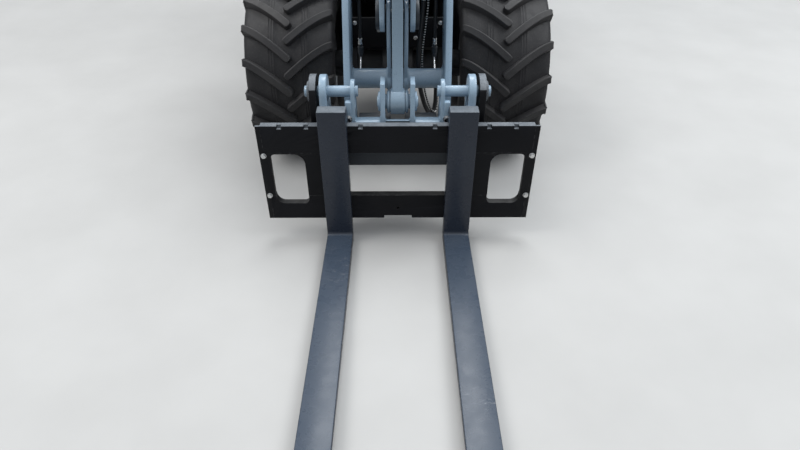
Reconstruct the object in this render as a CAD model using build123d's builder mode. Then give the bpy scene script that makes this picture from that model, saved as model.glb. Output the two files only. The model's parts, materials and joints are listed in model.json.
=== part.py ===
from math import cos, hypot, radians, sin
import os

from build123d import *

os.makedirs("parts", exist_ok=True)

# Compact articulated wheel loader with pallet forks, in millimetres.
# X is across, to the right seen from the front, Y is along, to the rear, and Z is up.
# The origin is on the ground, under the middle of the whole machine.

# Overall layout along the machine
tine_length = 1200
tine_thick = 40
carriage_to_axle = 825
wheelbase = 1500
rear_overhang = 625
overall_length = tine_length + tine_thick + carriage_to_axle + wheelbase + rear_overhang
carriage_y = tine_length + tine_thick - overall_length / 2
front_axle_y = carriage_y + carriage_to_axle
rear_axle_y = front_axle_y + wheelbase
joint_y = front_axle_y + wheelbase / 2
rear_y = rear_axle_y + rear_overhang
body_front_y = joint_y + 125

# Wheels
tyre_radius = 394
tyre_width = 380
tyre_facets = 24
tread_radius = 367
bar_count = 17
bar_half = 15
bar_top = 384.5
bar_root = 346
bar_sweep = 22
bar_inner = -10
bar_outer = 180
bar_phase = {1: 77.4, -1: 66.8}
track = 912
bead_radius = 190
rim_wall = 14
rim_width = 300
disc_thick = 14
disc_inset = 55
hub_radius = 82
hub_length = 92
spindle_radius = 36
cap_radius = 55
cap_length = 32

# Clearances
fit_gap = 0.08
seat_gap = 0.3
side_gap = 6
axle_clear = 110

# Places of the lifting gear in the side view, from the carriage face and the ground
coupler_pivot = (155, 405)
link_low = (111, 537)
lever_pivot = (262, 800)
lever_long = 230
lever_angle = 90
tower_from_axle = 515
tower_height = 1320
lift_base_from_tower = (-140, -730)
lift_eye_from_tower = (-300, -135)
cross_tube_place = (331, 530)
back_tube_place = (430, 866)
mid_tube_from_tower = (-580, -292)
lift_tube_from_tower = (-412, -192)

# Boom
boom_inner_x = 175
boom_plate = 24
boom_tube_radius = 38
lift_tube_radius = 30
lift_lug = 28
boom_nose_radius = 55
boom_tail_radius = 78
centre_plate_x = 25
centre_plate = 14

# Cylinders
tilt_barrel_length = 760
tilt_ear_x = 44
lift_x = 115
lift_barrel_length = 530
lift_ear_x = (55, 159)
lift_pin_radius = 18

# Pins
main_pin_radius = 25
link_pin_radius = 17
tower_pin_radius = 30
lever_pin_radius = 34
foot_pin_radius = 26
link_flange_radius = 35
link_flange = 24
lever_flange_radius = 52
lever_flange = 14
lever_waist_radius = 18
shaft_radius = 58
shaft_waist_radius = 30
shaft_x = (27, 146)

# Coupler
coupler_inner_x = 154
coupler_plate = 15
coupler_outer_x = 253
coupler_outer_plate = 25
coupler_front = 95
coupler_low = 108
coupler_foot = 205
beam_top = 74
beam_high = 29
beam_deep = 50
foot_bar_high = 38
foot_bar_deep = 45
web_thick = 15
pocket_top = 80
hook_pin_place = (121, 572)
hook_pin_radius = 20
hook_pin_x = (143, 335)
ear_x = 45
ear_plate = 17
ear_top = 212

# Link
link_half = 19
link_depth = 54
link_eye_radius = 45
lever_plate = 18

# Carriage
carriage_half = 489
bar_thick = 28
upper_bar = (385, 495)
lower_bar = (90.5, 199)
side_plate_half = 506
side_plate_inner = 264
side_plate_thick = 20
side_strip = 8
hook_plate_x = 289
hook_plate = 24
hook_round = 61
window_x = (342, 468)
window_z = (162, 380)
window_corner = 20
window_round = 42
notch_places = (132, 228, 325, 421)
notch_width = 16
notch_depth = 12

# Tines
tine_x = 228.5
tine_width = 100
shank_top = 568
tine_tip = 9
tine_rise = 20
tine_corner = 28
heel_outer = 38
heel_inner = 14
tine_hook = 53
tine_hook_top = 9
tine_hook_high = 44

# Front chassis
chassis_inner = 205
chassis_plate = 20
chassis_front = 105
chassis_low = 330
chassis_saddle = 508
yoke_gap = 134
yoke_half = 110
yoke_eye = 62
yoke_plate = 30
yoke_low = 430
yoke_high = 820
yoke_pin_radius = 25

# Axles
axle_radius = 60
axle_half = 235
diff_radius = 105
diff_half = 70

# Rear chassis
rear_inner = 180
rear_low = 400
rear_top = 640
rear_plate = 20
rear_wall = 20
rear_wall_top = 900
rear_saddle = 508
axle_pad_top = {"front": chassis_saddle, "rear": rear_saddle}

# Platform, seat and console
floor_z = 640
floor_plate = 14
floor_half = 480
floor_front_y = body_front_y
floor_back_y = rear_axle_y - 360
floor_skirt = 60
floor_rim = 12
seat_box_half = 225
seat_box_top = 870
seat_half = 225
seat_tall = 430
seat_deep = 330
cushion = 110
console_half = 150
console_top = 1120
wheel_radius = 175
column_tilt = 32
column_length = 210
column_radius = 30
step_front_y = floor_front_y + 30
step_length = 150
step_z = 390

# Roof frame
post_half = 28
post_x = floor_half - post_half
front_post_y = floor_front_y + 45
back_post_y = rear_axle_y + 150
roof_z = 2190
roof_thick = 60
roof_half = post_x + 68
roof_front_y = front_post_y - 95
roof_back_y = back_post_y + 125

# Rear body
fender_z = 835
fender_plate = 12
fender_outer = track / 2 + tyre_width / 2
hood_half = 300
hood_top = 1200
hood_front_y = rear_axle_y + 75
hood_wall = 6
hood_low = 853
hinge_x = 150
hinge_boss = 12
hinge_pin_radius = 6
tank_inner = 262
tank_outer = 560
tank_top = 1010
weight_thick = 95
weight_half = 430
weight_low = 430
weight_high = 845
hitch_z = 510
hitch_plate = 24
hitch_radius = 14
hitch_slot = 90
lamp_x = (350, 440)
lamp_deep = 48
lamp_high = 66
tail_lamp_x = (290, 370)
tail_lamp_z = (740, 800)
tail_lamp_deep = 20
grille_half = 230
grille_levels = (884, 912, 940, 968, 996)
grille_slot = 14
louvre_y = ((60, 190), (215, 345))
louvre_levels = (1010, 1036, 1062, 1088)


# Helpers. A side-view point is (Y from the carriage face, Z); a side profile stands across X.
def at(place):
    """Side-view point of a place given from the carriage face."""
    return (carriage_y + place[0], place[1])


def moved(start, step):
    """Side-view point one step away from another."""
    return (start[0] + step[0], start[1] + step[1])


def plate(x0, x1, outline, mode=Mode.ADD):
    """Flat plate from x0 to x1 with a side outline of (Y, Z) points."""
    with BuildSketch(Plane.YZ.offset(x0)) as profile:
        with BuildLine():
            Polyline(*outline, close=True)
        make_face()
    extrude(profile.sketch, amount=x1 - x0, dir=(1, 0, 0), mode=mode)


def rod(x0, x1, place, radius, mode=Mode.ADD):
    """Round bar across the machine from x0 to x1 about a side-view point."""
    with BuildSketch(Plane.YZ.offset(x0)) as profile:
        with Locations(place):
            Circle(radius)
    extrude(profile.sketch, amount=x1 - x0, dir=(1, 0, 0), mode=mode)


def block(x0, x1, y0, y1, z0, z1, mode=Mode.ADD):
    """Square block between two corners."""
    with BuildSketch(Plane.XY.offset(z0)) as profile:
        with Locations(((x0 + x1) / 2, (y0 + y1) / 2)):
            Rectangle(x1 - x0, y1 - y0)
    extrude(profile.sketch, amount=z1 - z0, dir=(0, 0, 1), mode=mode)


def spool(start, end, radius, x=0, mode=Mode.ADD):
    """Round bar in the side plane x from one side-view point to another."""
    reach = hypot(end[0] - start[0], end[1] - start[1])
    way = ((end[0] - start[0]) / reach, (end[1] - start[1]) / reach)
    face = Plane(origin=(x, start[0], start[1]), x_dir=(1, 0, 0), z_dir=(0, way[0], way[1]))
    with BuildSketch(face) as profile:
        Circle(radius)
    extrude(profile.sketch, amount=reach, dir=(0, way[0], way[1]), mode=mode)


def along(start, end, distance):
    """Side-view point at a distance from start towards end."""
    reach = hypot(end[0] - start[0], end[1] - start[1])
    return (
        start[0] + (end[0] - start[0]) * distance / reach,
        start[1] + (end[1] - start[1]) * distance / reach,
    )


def save(builder, label):
    """Label a finished piece and write it."""
    builder.part.label = label
    export_step(builder.part, "parts/" + label + ".step")


# Pivot places that follow from the driving sizes
nose = at(coupler_pivot)
link_foot = at(link_low)
lever_hub = at(lever_pivot)
tower = (front_axle_y + tower_from_axle, tower_height)
lever_short_step = (link_foot[0] - nose[0], link_foot[1] - nose[1])
link_head = moved(lever_hub, lever_short_step)
lever_long_step = (
    lever_long * cos(radians(lever_angle)),
    lever_long * sin(radians(lever_angle)),
)
tilt_eye = moved(lever_hub, lever_long_step)
tilt_base = moved(tower, lever_long_step)
lift_base = moved(tower, lift_base_from_tower)
lift_eye = moved(tower, lift_eye_from_tower)
cross_tube = at(cross_tube_place)
back_tube = at(back_tube_place)
mid_tube = moved(tower, mid_tube_from_tower)
lift_tube = moved(tower, lift_tube_from_tower)
front_hub = (front_axle_y, tyre_radius)
rear_hub = (rear_axle_y, tyre_radius)
boom_outer_x = boom_inner_x + boom_plate
seat_y = floor_back_y
bulkhead_y = hood_front_y - 10
hood_hinge = (hood_front_y + 14, hood_top - 22)
sides = ((-1, "right"), (1, "left"))


# Tyre: a ring of flat facets with two rows of traction bars, made once about the X axis
facet_turn = 360 / tyre_facets
tyre_half = tyre_width / 2
tyre_section = (
    (-tyre_half + 45, bead_radius),
    (-tyre_half, bead_radius + 110),
    (-tyre_half, bar_root - 1),
    (-tyre_half + 25, tread_radius - 3),
    (tyre_half - 25, tread_radius - 3),
    (tyre_half, bar_root - 1),
    (tyre_half, bead_radius + 110),
    (tyre_half - 45, bead_radius),
)

with BuildPart() as facet:
    with BuildSketch(Plane.XZ):
        with BuildLine():
            Polyline(*tyre_section, close=True)
        make_face()
    extrude(amount=tyre_radius / 4, both=True)
    for side in (-1, 1):
        half_turn = radians(facet_turn / 2)
        cut = Plane(origin=(0, 0, 0), z_dir=(0, -side * cos(half_turn), sin(half_turn)))
        split(bisect_by=cut, keep=Keep.TOP)

bar_rise = bar_top * radians(bar_sweep)
bar_run = bar_outer - bar_inner
bar_long = hypot(bar_run, bar_rise)
shift = (bar_rise / bar_long * bar_half, bar_run / bar_long * bar_half)
bar_corners = (
    (bar_inner - shift[0], -bar_rise / 2 + shift[1]),
    (bar_outer - shift[0], bar_rise / 2 + shift[1]),
    (bar_outer + shift[0], bar_rise / 2 - shift[1]),
    (bar_inner + shift[0], -bar_rise / 2 - shift[1]),
)
pieces = [facet.part.rotate(Axis.X, count * facet_turn) for count in range(tyre_facets)]
for side, side_name in sides:
    with BuildPart() as bar:
        with BuildSketch(Plane.XY.offset(bar_root)):
            with BuildLine():
                Polyline(*((side * x, y) for x, y in bar_corners), close=True)
            make_face()
        extrude(amount=bar_top - bar_root)
    middle = bar_phase[side] - bar_sweep / 2
    for count in range(bar_count):
        pieces.append(bar.part.rotate(Axis.X, middle + count * 360 / bar_count))
tyre_shape = pieces[0].fuse(*pieces[1:])

# Wheels: each has the tyre and a dished rim that turns on a spindle
for axle_name, axle_y in (("front", front_axle_y), ("rear", rear_axle_y)):
    for side, side_name in sides:
        wheel_x = side * track / 2
        place = (axle_y, tyre_radius)
        with BuildPart() as tyre:
            add(tyre_shape.moved(Location((wheel_x, axle_y, tyre_radius))))
        save(tyre, axle_name + "_tyre_" + side_name)

        disc_x = wheel_x + side * disc_inset
        hub_x = disc_x - side * hub_length
        cap_x = disc_x + side * cap_length
        with BuildPart() as rim:
            rod(wheel_x - rim_width / 2, wheel_x + rim_width / 2, place, bead_radius - seat_gap)
            rod(
                wheel_x - rim_width / 2,
                wheel_x + rim_width / 2,
                place,
                bead_radius - rim_wall,
                Mode.SUBTRACT,
            )
            rod(disc_x, disc_x - side * disc_thick, place, bead_radius - rim_wall)
            rod(hub_x, disc_x, place, hub_radius)
            rod(disc_x, cap_x, place, cap_radius)
            rod(hub_x, disc_x, place, spindle_radius + fit_gap, Mode.SUBTRACT)
        save(rim, axle_name + "_rim_" + side_name)


# Axles: a beam with a round gear case in the middle and a spindle in each hub
for axle_name, axle_y in (("front", front_axle_y), ("rear", rear_axle_y)):
    place = (axle_y, tyre_radius)
    hub_face = track / 2 + disc_inset - hub_length
    with BuildPart() as axle:
        rod(-hub_face + side_gap, hub_face - side_gap, place, axle_radius)
        rod(-hub_face - hub_length + side_gap, hub_face + hub_length - side_gap, place, spindle_radius)
        rod(-diff_half, diff_half, place, diff_radius)
        for side, side_name in sides:
            pad = side * (chassis_inner + chassis_plate / 2)
            pad_top = axle_pad_top[axle_name]
            block(pad - 30, pad + 30, axle_y - 70, axle_y + 70, tyre_radius, pad_top)
    save(axle, axle_name + "_axle")


# Front chassis: two tall plates, a rear wall, a floor and the yoke of the steering joint
wall_y = joint_y - yoke_gap
chassis_outline = (
    (front_axle_y - chassis_front, chassis_saddle),
    (front_axle_y + axle_clear, chassis_saddle),
    (front_axle_y + axle_clear + 70, chassis_low),
    (wall_y + 25, chassis_low),
    (wall_y + 25, tower_height - 150),
    (tower[0] + 62, tower_height + 62),
    (tower[0] - 55, tower_height + 66),
    (tower[0] - 170, tower_height - 260),
    (front_axle_y + 60, 760),
    (front_axle_y - chassis_front, 640),
)
with BuildPart() as front_chassis:
    for side, side_name in sides:
        near = side * chassis_inner
        plate(near, near + side * chassis_plate, chassis_outline)
        rod(near, near + side * chassis_plate, tower, 84)
    inner = chassis_inner
    block(-inner, inner, wall_y - 16, wall_y, chassis_low, tower_height + 20)
    block(-inner, inner, front_axle_y + axle_clear + 70, wall_y - 16, chassis_low, chassis_low + 16)
    sill_y = front_axle_y - chassis_front
    block(-inner, inner, sill_y, front_axle_y + 40, chassis_saddle, chassis_saddle + 16)
    block(-inner, inner, sill_y, sill_y + 14, chassis_saddle + 16, 640)
    for side, side_name in sides:
        ear = side * tilt_ear_x
        plate(
            ear,
            ear + side * 18,
            (
                (wall_y, tower_height + 20),
                (wall_y, tower_height + 90),
                (tilt_base[0] + 36, tilt_base[1] + 16),
                (tilt_base[0] - 36, tilt_base[1] + 10),
                (tilt_base[0] - 30, tilt_base[1] - 30),
                (wall_y - 30, tower_height + 95),
                (wall_y - 16, tower_height + 20),
            ),
        )
        rod(ear, ear + side * 18, tilt_base, 38)
        for ear in lift_ear_x:
            plate(
                side * ear,
                side * (ear + 16),
                (
                    (lift_base[0] - 38, lift_base[1] - 20),
                    (lift_base[0] + 30, lift_base[1] - 40),
                    (wall_y - 16, lift_base[1] - 40),
                    (wall_y - 16, lift_base[1] + 60),
                    (lift_base[0] + 20, lift_base[1] + 40),
                    (lift_base[0] - 34, lift_base[1] + 26),
                ),
            )
    rod(-inner - 30, inner + 30, tower, tower_pin_radius, Mode.SUBTRACT)
    rod(-tilt_ear_x - 18, tilt_ear_x + 18, tilt_base, link_pin_radius, Mode.SUBTRACT)
    for side, side_name in sides:
        rod(side * lift_ear_x[0], side * (lift_ear_x[1] + 16), lift_base, lift_pin_radius, Mode.SUBTRACT)
    for level in (yoke_low, yoke_high):
        with BuildSketch(Plane.XY.offset(level)):
            with Locations((0, (wall_y + joint_y) / 2)):
                Rectangle(2 * yoke_half, joint_y - wall_y)
            with Locations((0, joint_y)):
                Circle(yoke_eye)
                Circle(yoke_pin_radius + fit_gap, mode=Mode.SUBTRACT)
        extrude(amount=yoke_plate)
save(front_chassis, "front_chassis")

with BuildPart() as boom_shaft:
    rod(-chassis_inner - 34, chassis_inner + 34, tower, tower_pin_radius)
save(boom_shaft, "boom_shaft")

with BuildPart() as tilt_base_pin:
    rod(-tilt_ear_x - 26, tilt_ear_x + 26, tilt_base, link_pin_radius)
save(tilt_base_pin, "tilt_base_pin")

with BuildPart() as lift_base_pins:
    for side, side_name in sides:
        rod(side * (lift_ear_x[0] - 8), side * (lift_ear_x[1] + 24), lift_base, lift_pin_radius)
save(lift_base_pins, "lift_base_pins")


# Boom: two bent side plates, three cross tubes and two plates in the middle for the lever
boom_outline = (
    (nose[0] - boom_nose_radius, nose[1]),
    (nose[0] + 3, nose[1] + 85),
    (nose[0] + 39, nose[1] + 201),
    (nose[0] + 133, nose[1] + 420),
    (nose[0] + 230, nose[1] + 575),
    (nose[0] + 345, nose[1] + 680),
    (tower[0] - 28, tower[1] + 74),
    (tower[0] + 30, tower[1] - 72),
    (tower[0] - 740, tower[1] - 395),
    (nose[0] + 305, nose[1] + 385),
    (nose[0] + 228, nose[1] + 232),
    (nose[0] + 170, nose[1] + 175),
    (nose[0] + 110, nose[1] + 150),
    (nose[0] + 73, nose[1] + 73),
    (nose[0] + boom_nose_radius, nose[1]),
)
centre_outline = (
    (cross_tube[0] - 46, cross_tube[1] + 20),
    (lever_hub[0] - 50, lever_hub[1] - 30),
    (lever_hub[0] - 40, lever_hub[1] + 32),
    (lever_hub[0] + 20, lever_hub[1] + 50),
    (back_tube[0] - 10, back_tube[1] + 52),
    (back_tube[0] + 46, back_tube[1] - 20),
    (cross_tube[0] + 120, cross_tube[1] + 190),
    (cross_tube[0] + 46, cross_tube[1]),
)
with BuildPart() as boom:
    for side, side_name in sides:
        near = side * boom_inner_x
        far = side * boom_outer_x
        plate(near, far, boom_outline)
        rod(near, far, nose, boom_nose_radius)
        rod(near, far, tower, boom_tail_radius)
        rod(near, far, cross_tube, 52)
        rod(near, side * (coupler_outer_x - side_gap), nose, main_pin_radius + 16)
        plate(side * centre_plate_x, side * (centre_plate_x + centre_plate), centre_outline)
        for tube in (cross_tube, lever_hub):
            rod(side * centre_plate_x, side * (centre_plate_x + centre_plate), tube, 52)
        rod(near, side * (lift_x + 26), lift_eye, 34)
        plate(
            side * lift_ear_x[0],
            side * (lift_ear_x[0] + lift_lug),
            (
                (lift_eye[0] + 6, lift_eye[1] - 42),
                (lift_eye[0] + 6, lift_eye[1] + 42),
                (lift_tube[0] - 6, lift_tube[1] + 36),
                (lift_tube[0] - 6, lift_tube[1] - 36),
            ),
        )
        rod(side * lift_ear_x[0], side * (lift_ear_x[0] + lift_lug), lift_eye, 42)
    rod(-boom_inner_x, boom_inner_x, lift_tube, lift_tube_radius)
    for tube in (cross_tube, back_tube, mid_tube, tower):
        radius = boom_tube_radius if tube != tower else tower_pin_radius + 14
        rod(-boom_inner_x, boom_inner_x, tube, radius)
    rod(-boom_outer_x, boom_outer_x, tower, tower_pin_radius + fit_gap, Mode.SUBTRACT)
    for side, side_name in sides:
        rod(side * boom_inner_x, side * coupler_outer_x, nose, main_pin_radius + fit_gap, Mode.SUBTRACT)
        rod(side * centre_plate_x, side * ear_x, lever_hub, lever_pin_radius, Mode.SUBTRACT)
        rod(side * lift_ear_x[0], side * boom_outer_x, lift_eye, lift_pin_radius, Mode.SUBTRACT)
save(boom, "boom")

with BuildPart() as lift_eye_pins:
    for side, side_name in sides:
        rod(side * (lift_ear_x[0] - 8), side * (lift_ear_x[0] + lift_lug), lift_eye, lift_pin_radius)
        rod(side * (lift_x + 26), side * (boom_outer_x + 6), lift_eye, lift_pin_radius)
save(lift_eye_pins, "lift_eye_pins")


# Coupler pins: a thick shaft between the coupler's plates, with a pin at each end through the boom's nose
pin_end = coupler_outer_x + coupler_outer_plate + 5
with BuildPart() as coupler_pins:
    rod(-shaft_x[1], shaft_x[1], nose, shaft_waist_radius)
    rod(-pin_end, pin_end, nose, main_pin_radius)
    for side, side_name in sides:
        rod(side * shaft_x[0], side * shaft_x[1], nose, shaft_radius)
save(coupler_pins, "coupler_pins")

# Lever pin: one pin across the boom's middle plates, with a flange outside each lever plate
lever_x = centre_plate_x + centre_plate + side_gap
lever_out = lever_x + lever_plate
with BuildPart() as lever_pins:
    rod(-centre_plate_x, centre_plate_x, lever_hub, lever_waist_radius)
    for side, side_name in sides:
        near = side * centre_plate_x
        rod(near, side * (lever_out + seat_gap), lever_hub, lever_pin_radius - fit_gap)
        rod(
            side * (lever_out + seat_gap),
            side * (lever_out + lever_flange),
            lever_hub,
            lever_flange_radius,
        )
save(lever_pins, "lever_pins")

# Lever: two plates with the link's pin and the tilt cylinder's pin between them
with BuildPart() as lever:
    for side, side_name in sides:
        near = side * lever_x
        far = side * (lever_x + lever_plate)
        plate(
            near,
            far,
            (
                (lever_hub[0] - 58, lever_hub[1] + 8),
                (link_head[0] - 36, link_head[1] - 8),
                (link_head[0] - 26, link_head[1] + 26),
                (tilt_eye[0] - 35, tilt_eye[1] + 12),
                (tilt_eye[0] + 37, tilt_eye[1]),
                (lever_hub[0] + 60, lever_hub[1]),
            ),
        )
        rod(near, far, link_head, 37)
        rod(near, far, lever_hub, 60)
        rod(near, far, tilt_eye, 37)
        rod(near, far, lever_hub, lever_pin_radius, Mode.SUBTRACT)
        rod(near, far, link_head, link_pin_radius, Mode.SUBTRACT)
        rod(near, far, tilt_eye, link_pin_radius, Mode.SUBTRACT)
save(lever, "tilt_lever")

with BuildPart() as lever_bolts:
    rod(-lever_x - lever_plate - 8, lever_x + lever_plate + 8, link_head, link_pin_radius)
    for side, side_name in sides:
        rod(side * lever_x, side * (lever_x + lever_plate + 8), tilt_eye, link_pin_radius)
save(lever_bolts, "lever_bolts")

# Link: a flat bar with an eye at each end
with BuildPart() as link:
    rise = (link_head[0] - link_foot[0], link_head[1] - link_foot[1])
    across = (rise[1] / hypot(*rise) * link_depth / 2, -rise[0] / hypot(*rise) * link_depth / 2)
    plate(
        -link_half,
        link_half,
        (
            (link_foot[0] - across[0], link_foot[1] - across[1]),
            (link_head[0] - across[0], link_head[1] - across[1]),
            (link_head[0] + across[0], link_head[1] + across[1]),
            (link_foot[0] + across[0], link_foot[1] + across[1]),
        ),
    )
    rod(-link_half, link_half, link_foot, link_eye_radius)
    rod(-link_half, link_half, link_head, link_eye_radius - 13)
    rod(-ear_x + side_gap, ear_x - side_gap, link_foot, foot_pin_radius + 12)
    rod(-lever_x + side_gap, lever_x - side_gap, link_head, link_pin_radius + 10)
    rod(-ear_x, ear_x, link_foot, foot_pin_radius + fit_gap, Mode.SUBTRACT)
    rod(-ear_x, ear_x, link_head, link_pin_radius + fit_gap, Mode.SUBTRACT)
save(link, "tilt_link")

with BuildPart() as link_pin:
    ear_out = ear_x + ear_plate
    rod(-ear_out - link_flange, ear_out + link_flange, link_foot, foot_pin_radius)
    for side, side_name in sides:
        rod(side * (ear_out + seat_gap), side * (ear_out + link_flange), link_foot, link_flange_radius)
save(link_pin, "link_pin")


# Coupler: side plates about the boom's nose, two beams, a front web and the hook pins
hook_pin = at(hook_pin_place)
with BuildPart() as coupler:
    for side, side_name in sides:
        plate(
            side * coupler_inner_x,
            side * (coupler_inner_x + coupler_plate),
            (
                (nose[0] - coupler_front, nose[1] - coupler_low),
                (nose[0] - 45, nose[1] - coupler_low),
                (nose[0] + 52, nose[1]),
                (hook_pin[0] + 43, hook_pin[1]),
                (hook_pin[0] - 43, hook_pin[1]),
                (nose[0] - coupler_front, nose[1] + 35),
            ),
        )
        rod(side * coupler_inner_x, side * (coupler_inner_x + coupler_plate), nose, 52)
        rod(side * coupler_inner_x, side * (coupler_inner_x + coupler_plate), hook_pin, 43)
        plate(
            side * coupler_outer_x,
            side * (coupler_outer_x + coupler_outer_plate),
            (
                (nose[0] - coupler_front, nose[1] - coupler_foot),
                (nose[0] - 5, nose[1] - coupler_foot + 40),
                (nose[0] + 52, nose[1]),
                (hook_pin[0] + 60, hook_pin[1]),
                (hook_pin[0] - 60, hook_pin[1]),
                (nose[0] - coupler_front, nose[1] + 35),
            ),
        )
        rod(side * coupler_outer_x, side * (coupler_outer_x + coupler_outer_plate), nose, 52)
        rod(side * coupler_outer_x, side * (coupler_outer_x + coupler_outer_plate), hook_pin, 60)
        plate(
            side * ear_x,
            side * (ear_x + ear_plate),
            (
                (nose[0] - coupler_front, nose[1] - coupler_low),
                (nose[0] - 70, nose[1] - coupler_low),
                (nose[0] - 70, nose[1] + 35),
                (nose[0] - 8, nose[1] + 120),
                (nose[0] - 8, nose[1] + ear_top),
                (nose[0] - 78, nose[1] + ear_top),
                (nose[0] - coupler_front, nose[1] + 60),
            ),
        )
        block(
            side * (ear_x + ear_plate),
            side * coupler_inner_x,
            nose[0] - coupler_front,
            nose[0] - coupler_front + beam_deep,
            nose[1] + beam_top - beam_high,
            nose[1] + beam_top,
        )
    outer = coupler_outer_x + coupler_outer_plate
    front_face = nose[0] - coupler_front
    bar_top = nose[1] - coupler_low + foot_bar_high
    block(-outer, outer, front_face, front_face + web_thick, bar_top, nose[1] + 52)
    block(-outer, outer, front_face, front_face + foot_bar_deep, nose[1] - coupler_low, bar_top)
    block(-ear_x, ear_x, front_face, front_face + web_thick, nose[1] + 52, nose[1] + pocket_top)
    rod(-outer, outer, nose, main_pin_radius + fit_gap, Mode.SUBTRACT)
    rod(-outer, outer, hook_pin, hook_pin_radius, Mode.SUBTRACT)
    rod(-outer, outer, link_foot, foot_pin_radius + fit_gap, Mode.SUBTRACT)
save(coupler, "coupler")

with BuildPart() as hook_pins:
    for side, side_name in sides:
        rod(side * hook_pin_x[0], side * hook_pin_x[1], hook_pin, hook_pin_radius)
save(hook_pins, "hook_pins")


# Fork carriage: two bars, a plate at each end with a window, and hooks for the coupler's pins
def flat(x0, x1, z0, z1, y0, y1, mode=Mode.ADD):
    """Block on the carriage, with Y from its front face."""
    block(x0, x1, carriage_y + y0, carriage_y + y1, z0, z1, mode)


with BuildPart() as carriage:
    for low, high in (upper_bar, lower_bar):
        flat(-carriage_half, carriage_half, low, high, 0, bar_thick)
    for side, side_name in sides:
        for place in notch_places:
            flat(
                side * place - notch_width / 2,
                side * place + notch_width / 2,
                upper_bar[1] - notch_depth,
                upper_bar[1],
                0,
                bar_thick,
                Mode.SUBTRACT,
            )
        flat(
            side * window_x[0],
            side * window_x[1],
            window_z[0],
            lower_bar[1],
            0,
            bar_thick,
            Mode.SUBTRACT,
        )
        plate(
            side * hook_plate_x,
            side * (hook_plate_x + hook_plate),
            (
                (carriage_y + bar_thick, lower_bar[0] + 25),
                (carriage_y + bar_thick, upper_bar[1] - 30),
                (hook_pin[0] - hook_round, upper_bar[1] - 30),
                (hook_pin[0] - hook_round, hook_pin[1]),
                (hook_pin[0] + hook_round, hook_pin[1]),
                (carriage_y + 110, 300),
                (carriage_y + 110, 190),
                (carriage_y + 70, lower_bar[0] + 25),
            ),
        )
        rod(side * hook_plate_x, side * (hook_plate_x + hook_plate), hook_pin, hook_round)
        rod(
            side * hook_plate_x,
            side * (hook_plate_x + hook_plate),
            hook_pin,
            hook_pin_radius,
            Mode.SUBTRACT,
        )
        for corner_x, corner in ((window_x[0], window_corner), (window_x[1], window_round - 8)):
            along_y = carriage.edges().filter_by(Axis.Y)
            found = along_y.sort_by_distance((side * corner_x, carriage_y, window_z[0]))
            fillet(found[:1], corner)
    flat(-54, 54, lower_bar[0], lower_bar[0] + 12, 0, bar_thick, Mode.SUBTRACT)
save(carriage, "carriage")

for side, side_name in sides:
    with BuildPart() as guard:
        y0 = 0
        y1 = side_plate_thick
        flat(side * side_plate_inner, side * carriage_half, lower_bar[1], upper_bar[0], y0, y1)
        flat(side * carriage_half, side * side_plate_half, lower_bar[0], upper_bar[1], y0, side_strip)
        flat(
            side * window_x[0],
            side * window_x[1],
            lower_bar[1],
            window_z[1],
            y0,
            y1,
            Mode.SUBTRACT,
        )
        along_y = guard.edges().filter_by(Axis.Y)
        for corner_x, corner in ((window_x[0], window_round), (window_x[1], window_corner)):
            found = along_y.sort_by_distance((side * corner_x, carriage_y, window_z[1]))
            fillet(found[:1], corner)
            along_y = guard.edges().filter_by(Axis.Y)
    save(guard, "side_plate_" + side_name)

for side, side_name in sides:
    near = side * tine_x - tine_width / 2
    with BuildPart() as tine:
        plate(
            near,
            near + tine_width,
            (
                (carriage_y - 0.5, shank_top),
                (carriage_y - tine_thick, shank_top),
                (carriage_y - tine_thick, tine_thick),
                (carriage_y - tine_thick - tine_length, tine_thick + tine_rise),
                (carriage_y - tine_thick - tine_length, tine_thick + tine_rise - tine_tip),
                (carriage_y - 4 * tine_thick, 0),
                (carriage_y - 0.5, 0),
            ),
        )
        plate(
            near,
            near + tine_width,
            (
                (carriage_y - 0.5, upper_bar[1] + 0.5),
                (carriage_y - 0.5, shank_top),
                (carriage_y + tine_hook_top, shank_top),
                (carriage_y + tine_hook, shank_top - tine_hook_high),
                (carriage_y + tine_hook, upper_bar[1] - 22),
                (carriage_y + bar_thick + 0.5, upper_bar[1] - 22),
                (carriage_y + bar_thick + 0.5, upper_bar[1] + 0.5),
            ),
        )
        plate(
            near + 10,
            near + tine_width - 10,
            (
                (carriage_y - 0.5, lower_bar[0] - 0.5),
                (carriage_y - 0.5, lower_bar[0] - 24),
                (carriage_y + bar_thick + 20, lower_bar[0] - 24),
                (carriage_y + bar_thick + 20, lower_bar[0] + 12),
                (carriage_y + bar_thick + 0.5, lower_bar[0] + 12),
                (carriage_y + bar_thick + 0.5, lower_bar[0] - 0.5),
            ),
        )
        upright = tine.edges().filter_by(Axis.Z)
        fillet(upright.sort_by(Axis.Y)[:2], tine_corner)
        cross = tine.edges().filter_by(Axis.X)
        fillet(cross.sort_by_distance((near, carriage_y, 0))[:1], heel_outer)
        cross = tine.edges().filter_by(Axis.X)
        fillet(cross.sort_by_distance((near, carriage_y - tine_thick, tine_thick))[:1], heel_inner)
    save(tine, "fork_tine_" + side_name)


# Cylinders: a barrel with its eye and a rod with its eye
def barrel(start, end, x, length, radius, bore, eye_radius, pin_radius, half):
    """Closed tube from its eye at start towards end, with a bore open at the far end."""
    neck = along(start, end, eye_radius - 4)
    mouth = along(start, end, length)
    floor = along(start, end, eye_radius + 30)
    spool(neck, mouth, radius, x)
    rod(x - half, x + half, start, eye_radius)
    spool(floor, mouth, bore, x, Mode.SUBTRACT)
    rod(x - radius, x + radius, start, pin_radius + fit_gap, Mode.SUBTRACT)


def cylinder_rod(start, end, x, inside, radius, head, eye_radius, half):
    """Rod from its piston, at a distance from start, to its eye at end."""
    foot = along(start, end, inside)
    neck = along(end, start, eye_radius - 4)
    spool(foot, along(start, end, inside + 30), head, x)
    spool(foot, neck, radius, x)
    rod(x - half, x + half, end, eye_radius)


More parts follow.
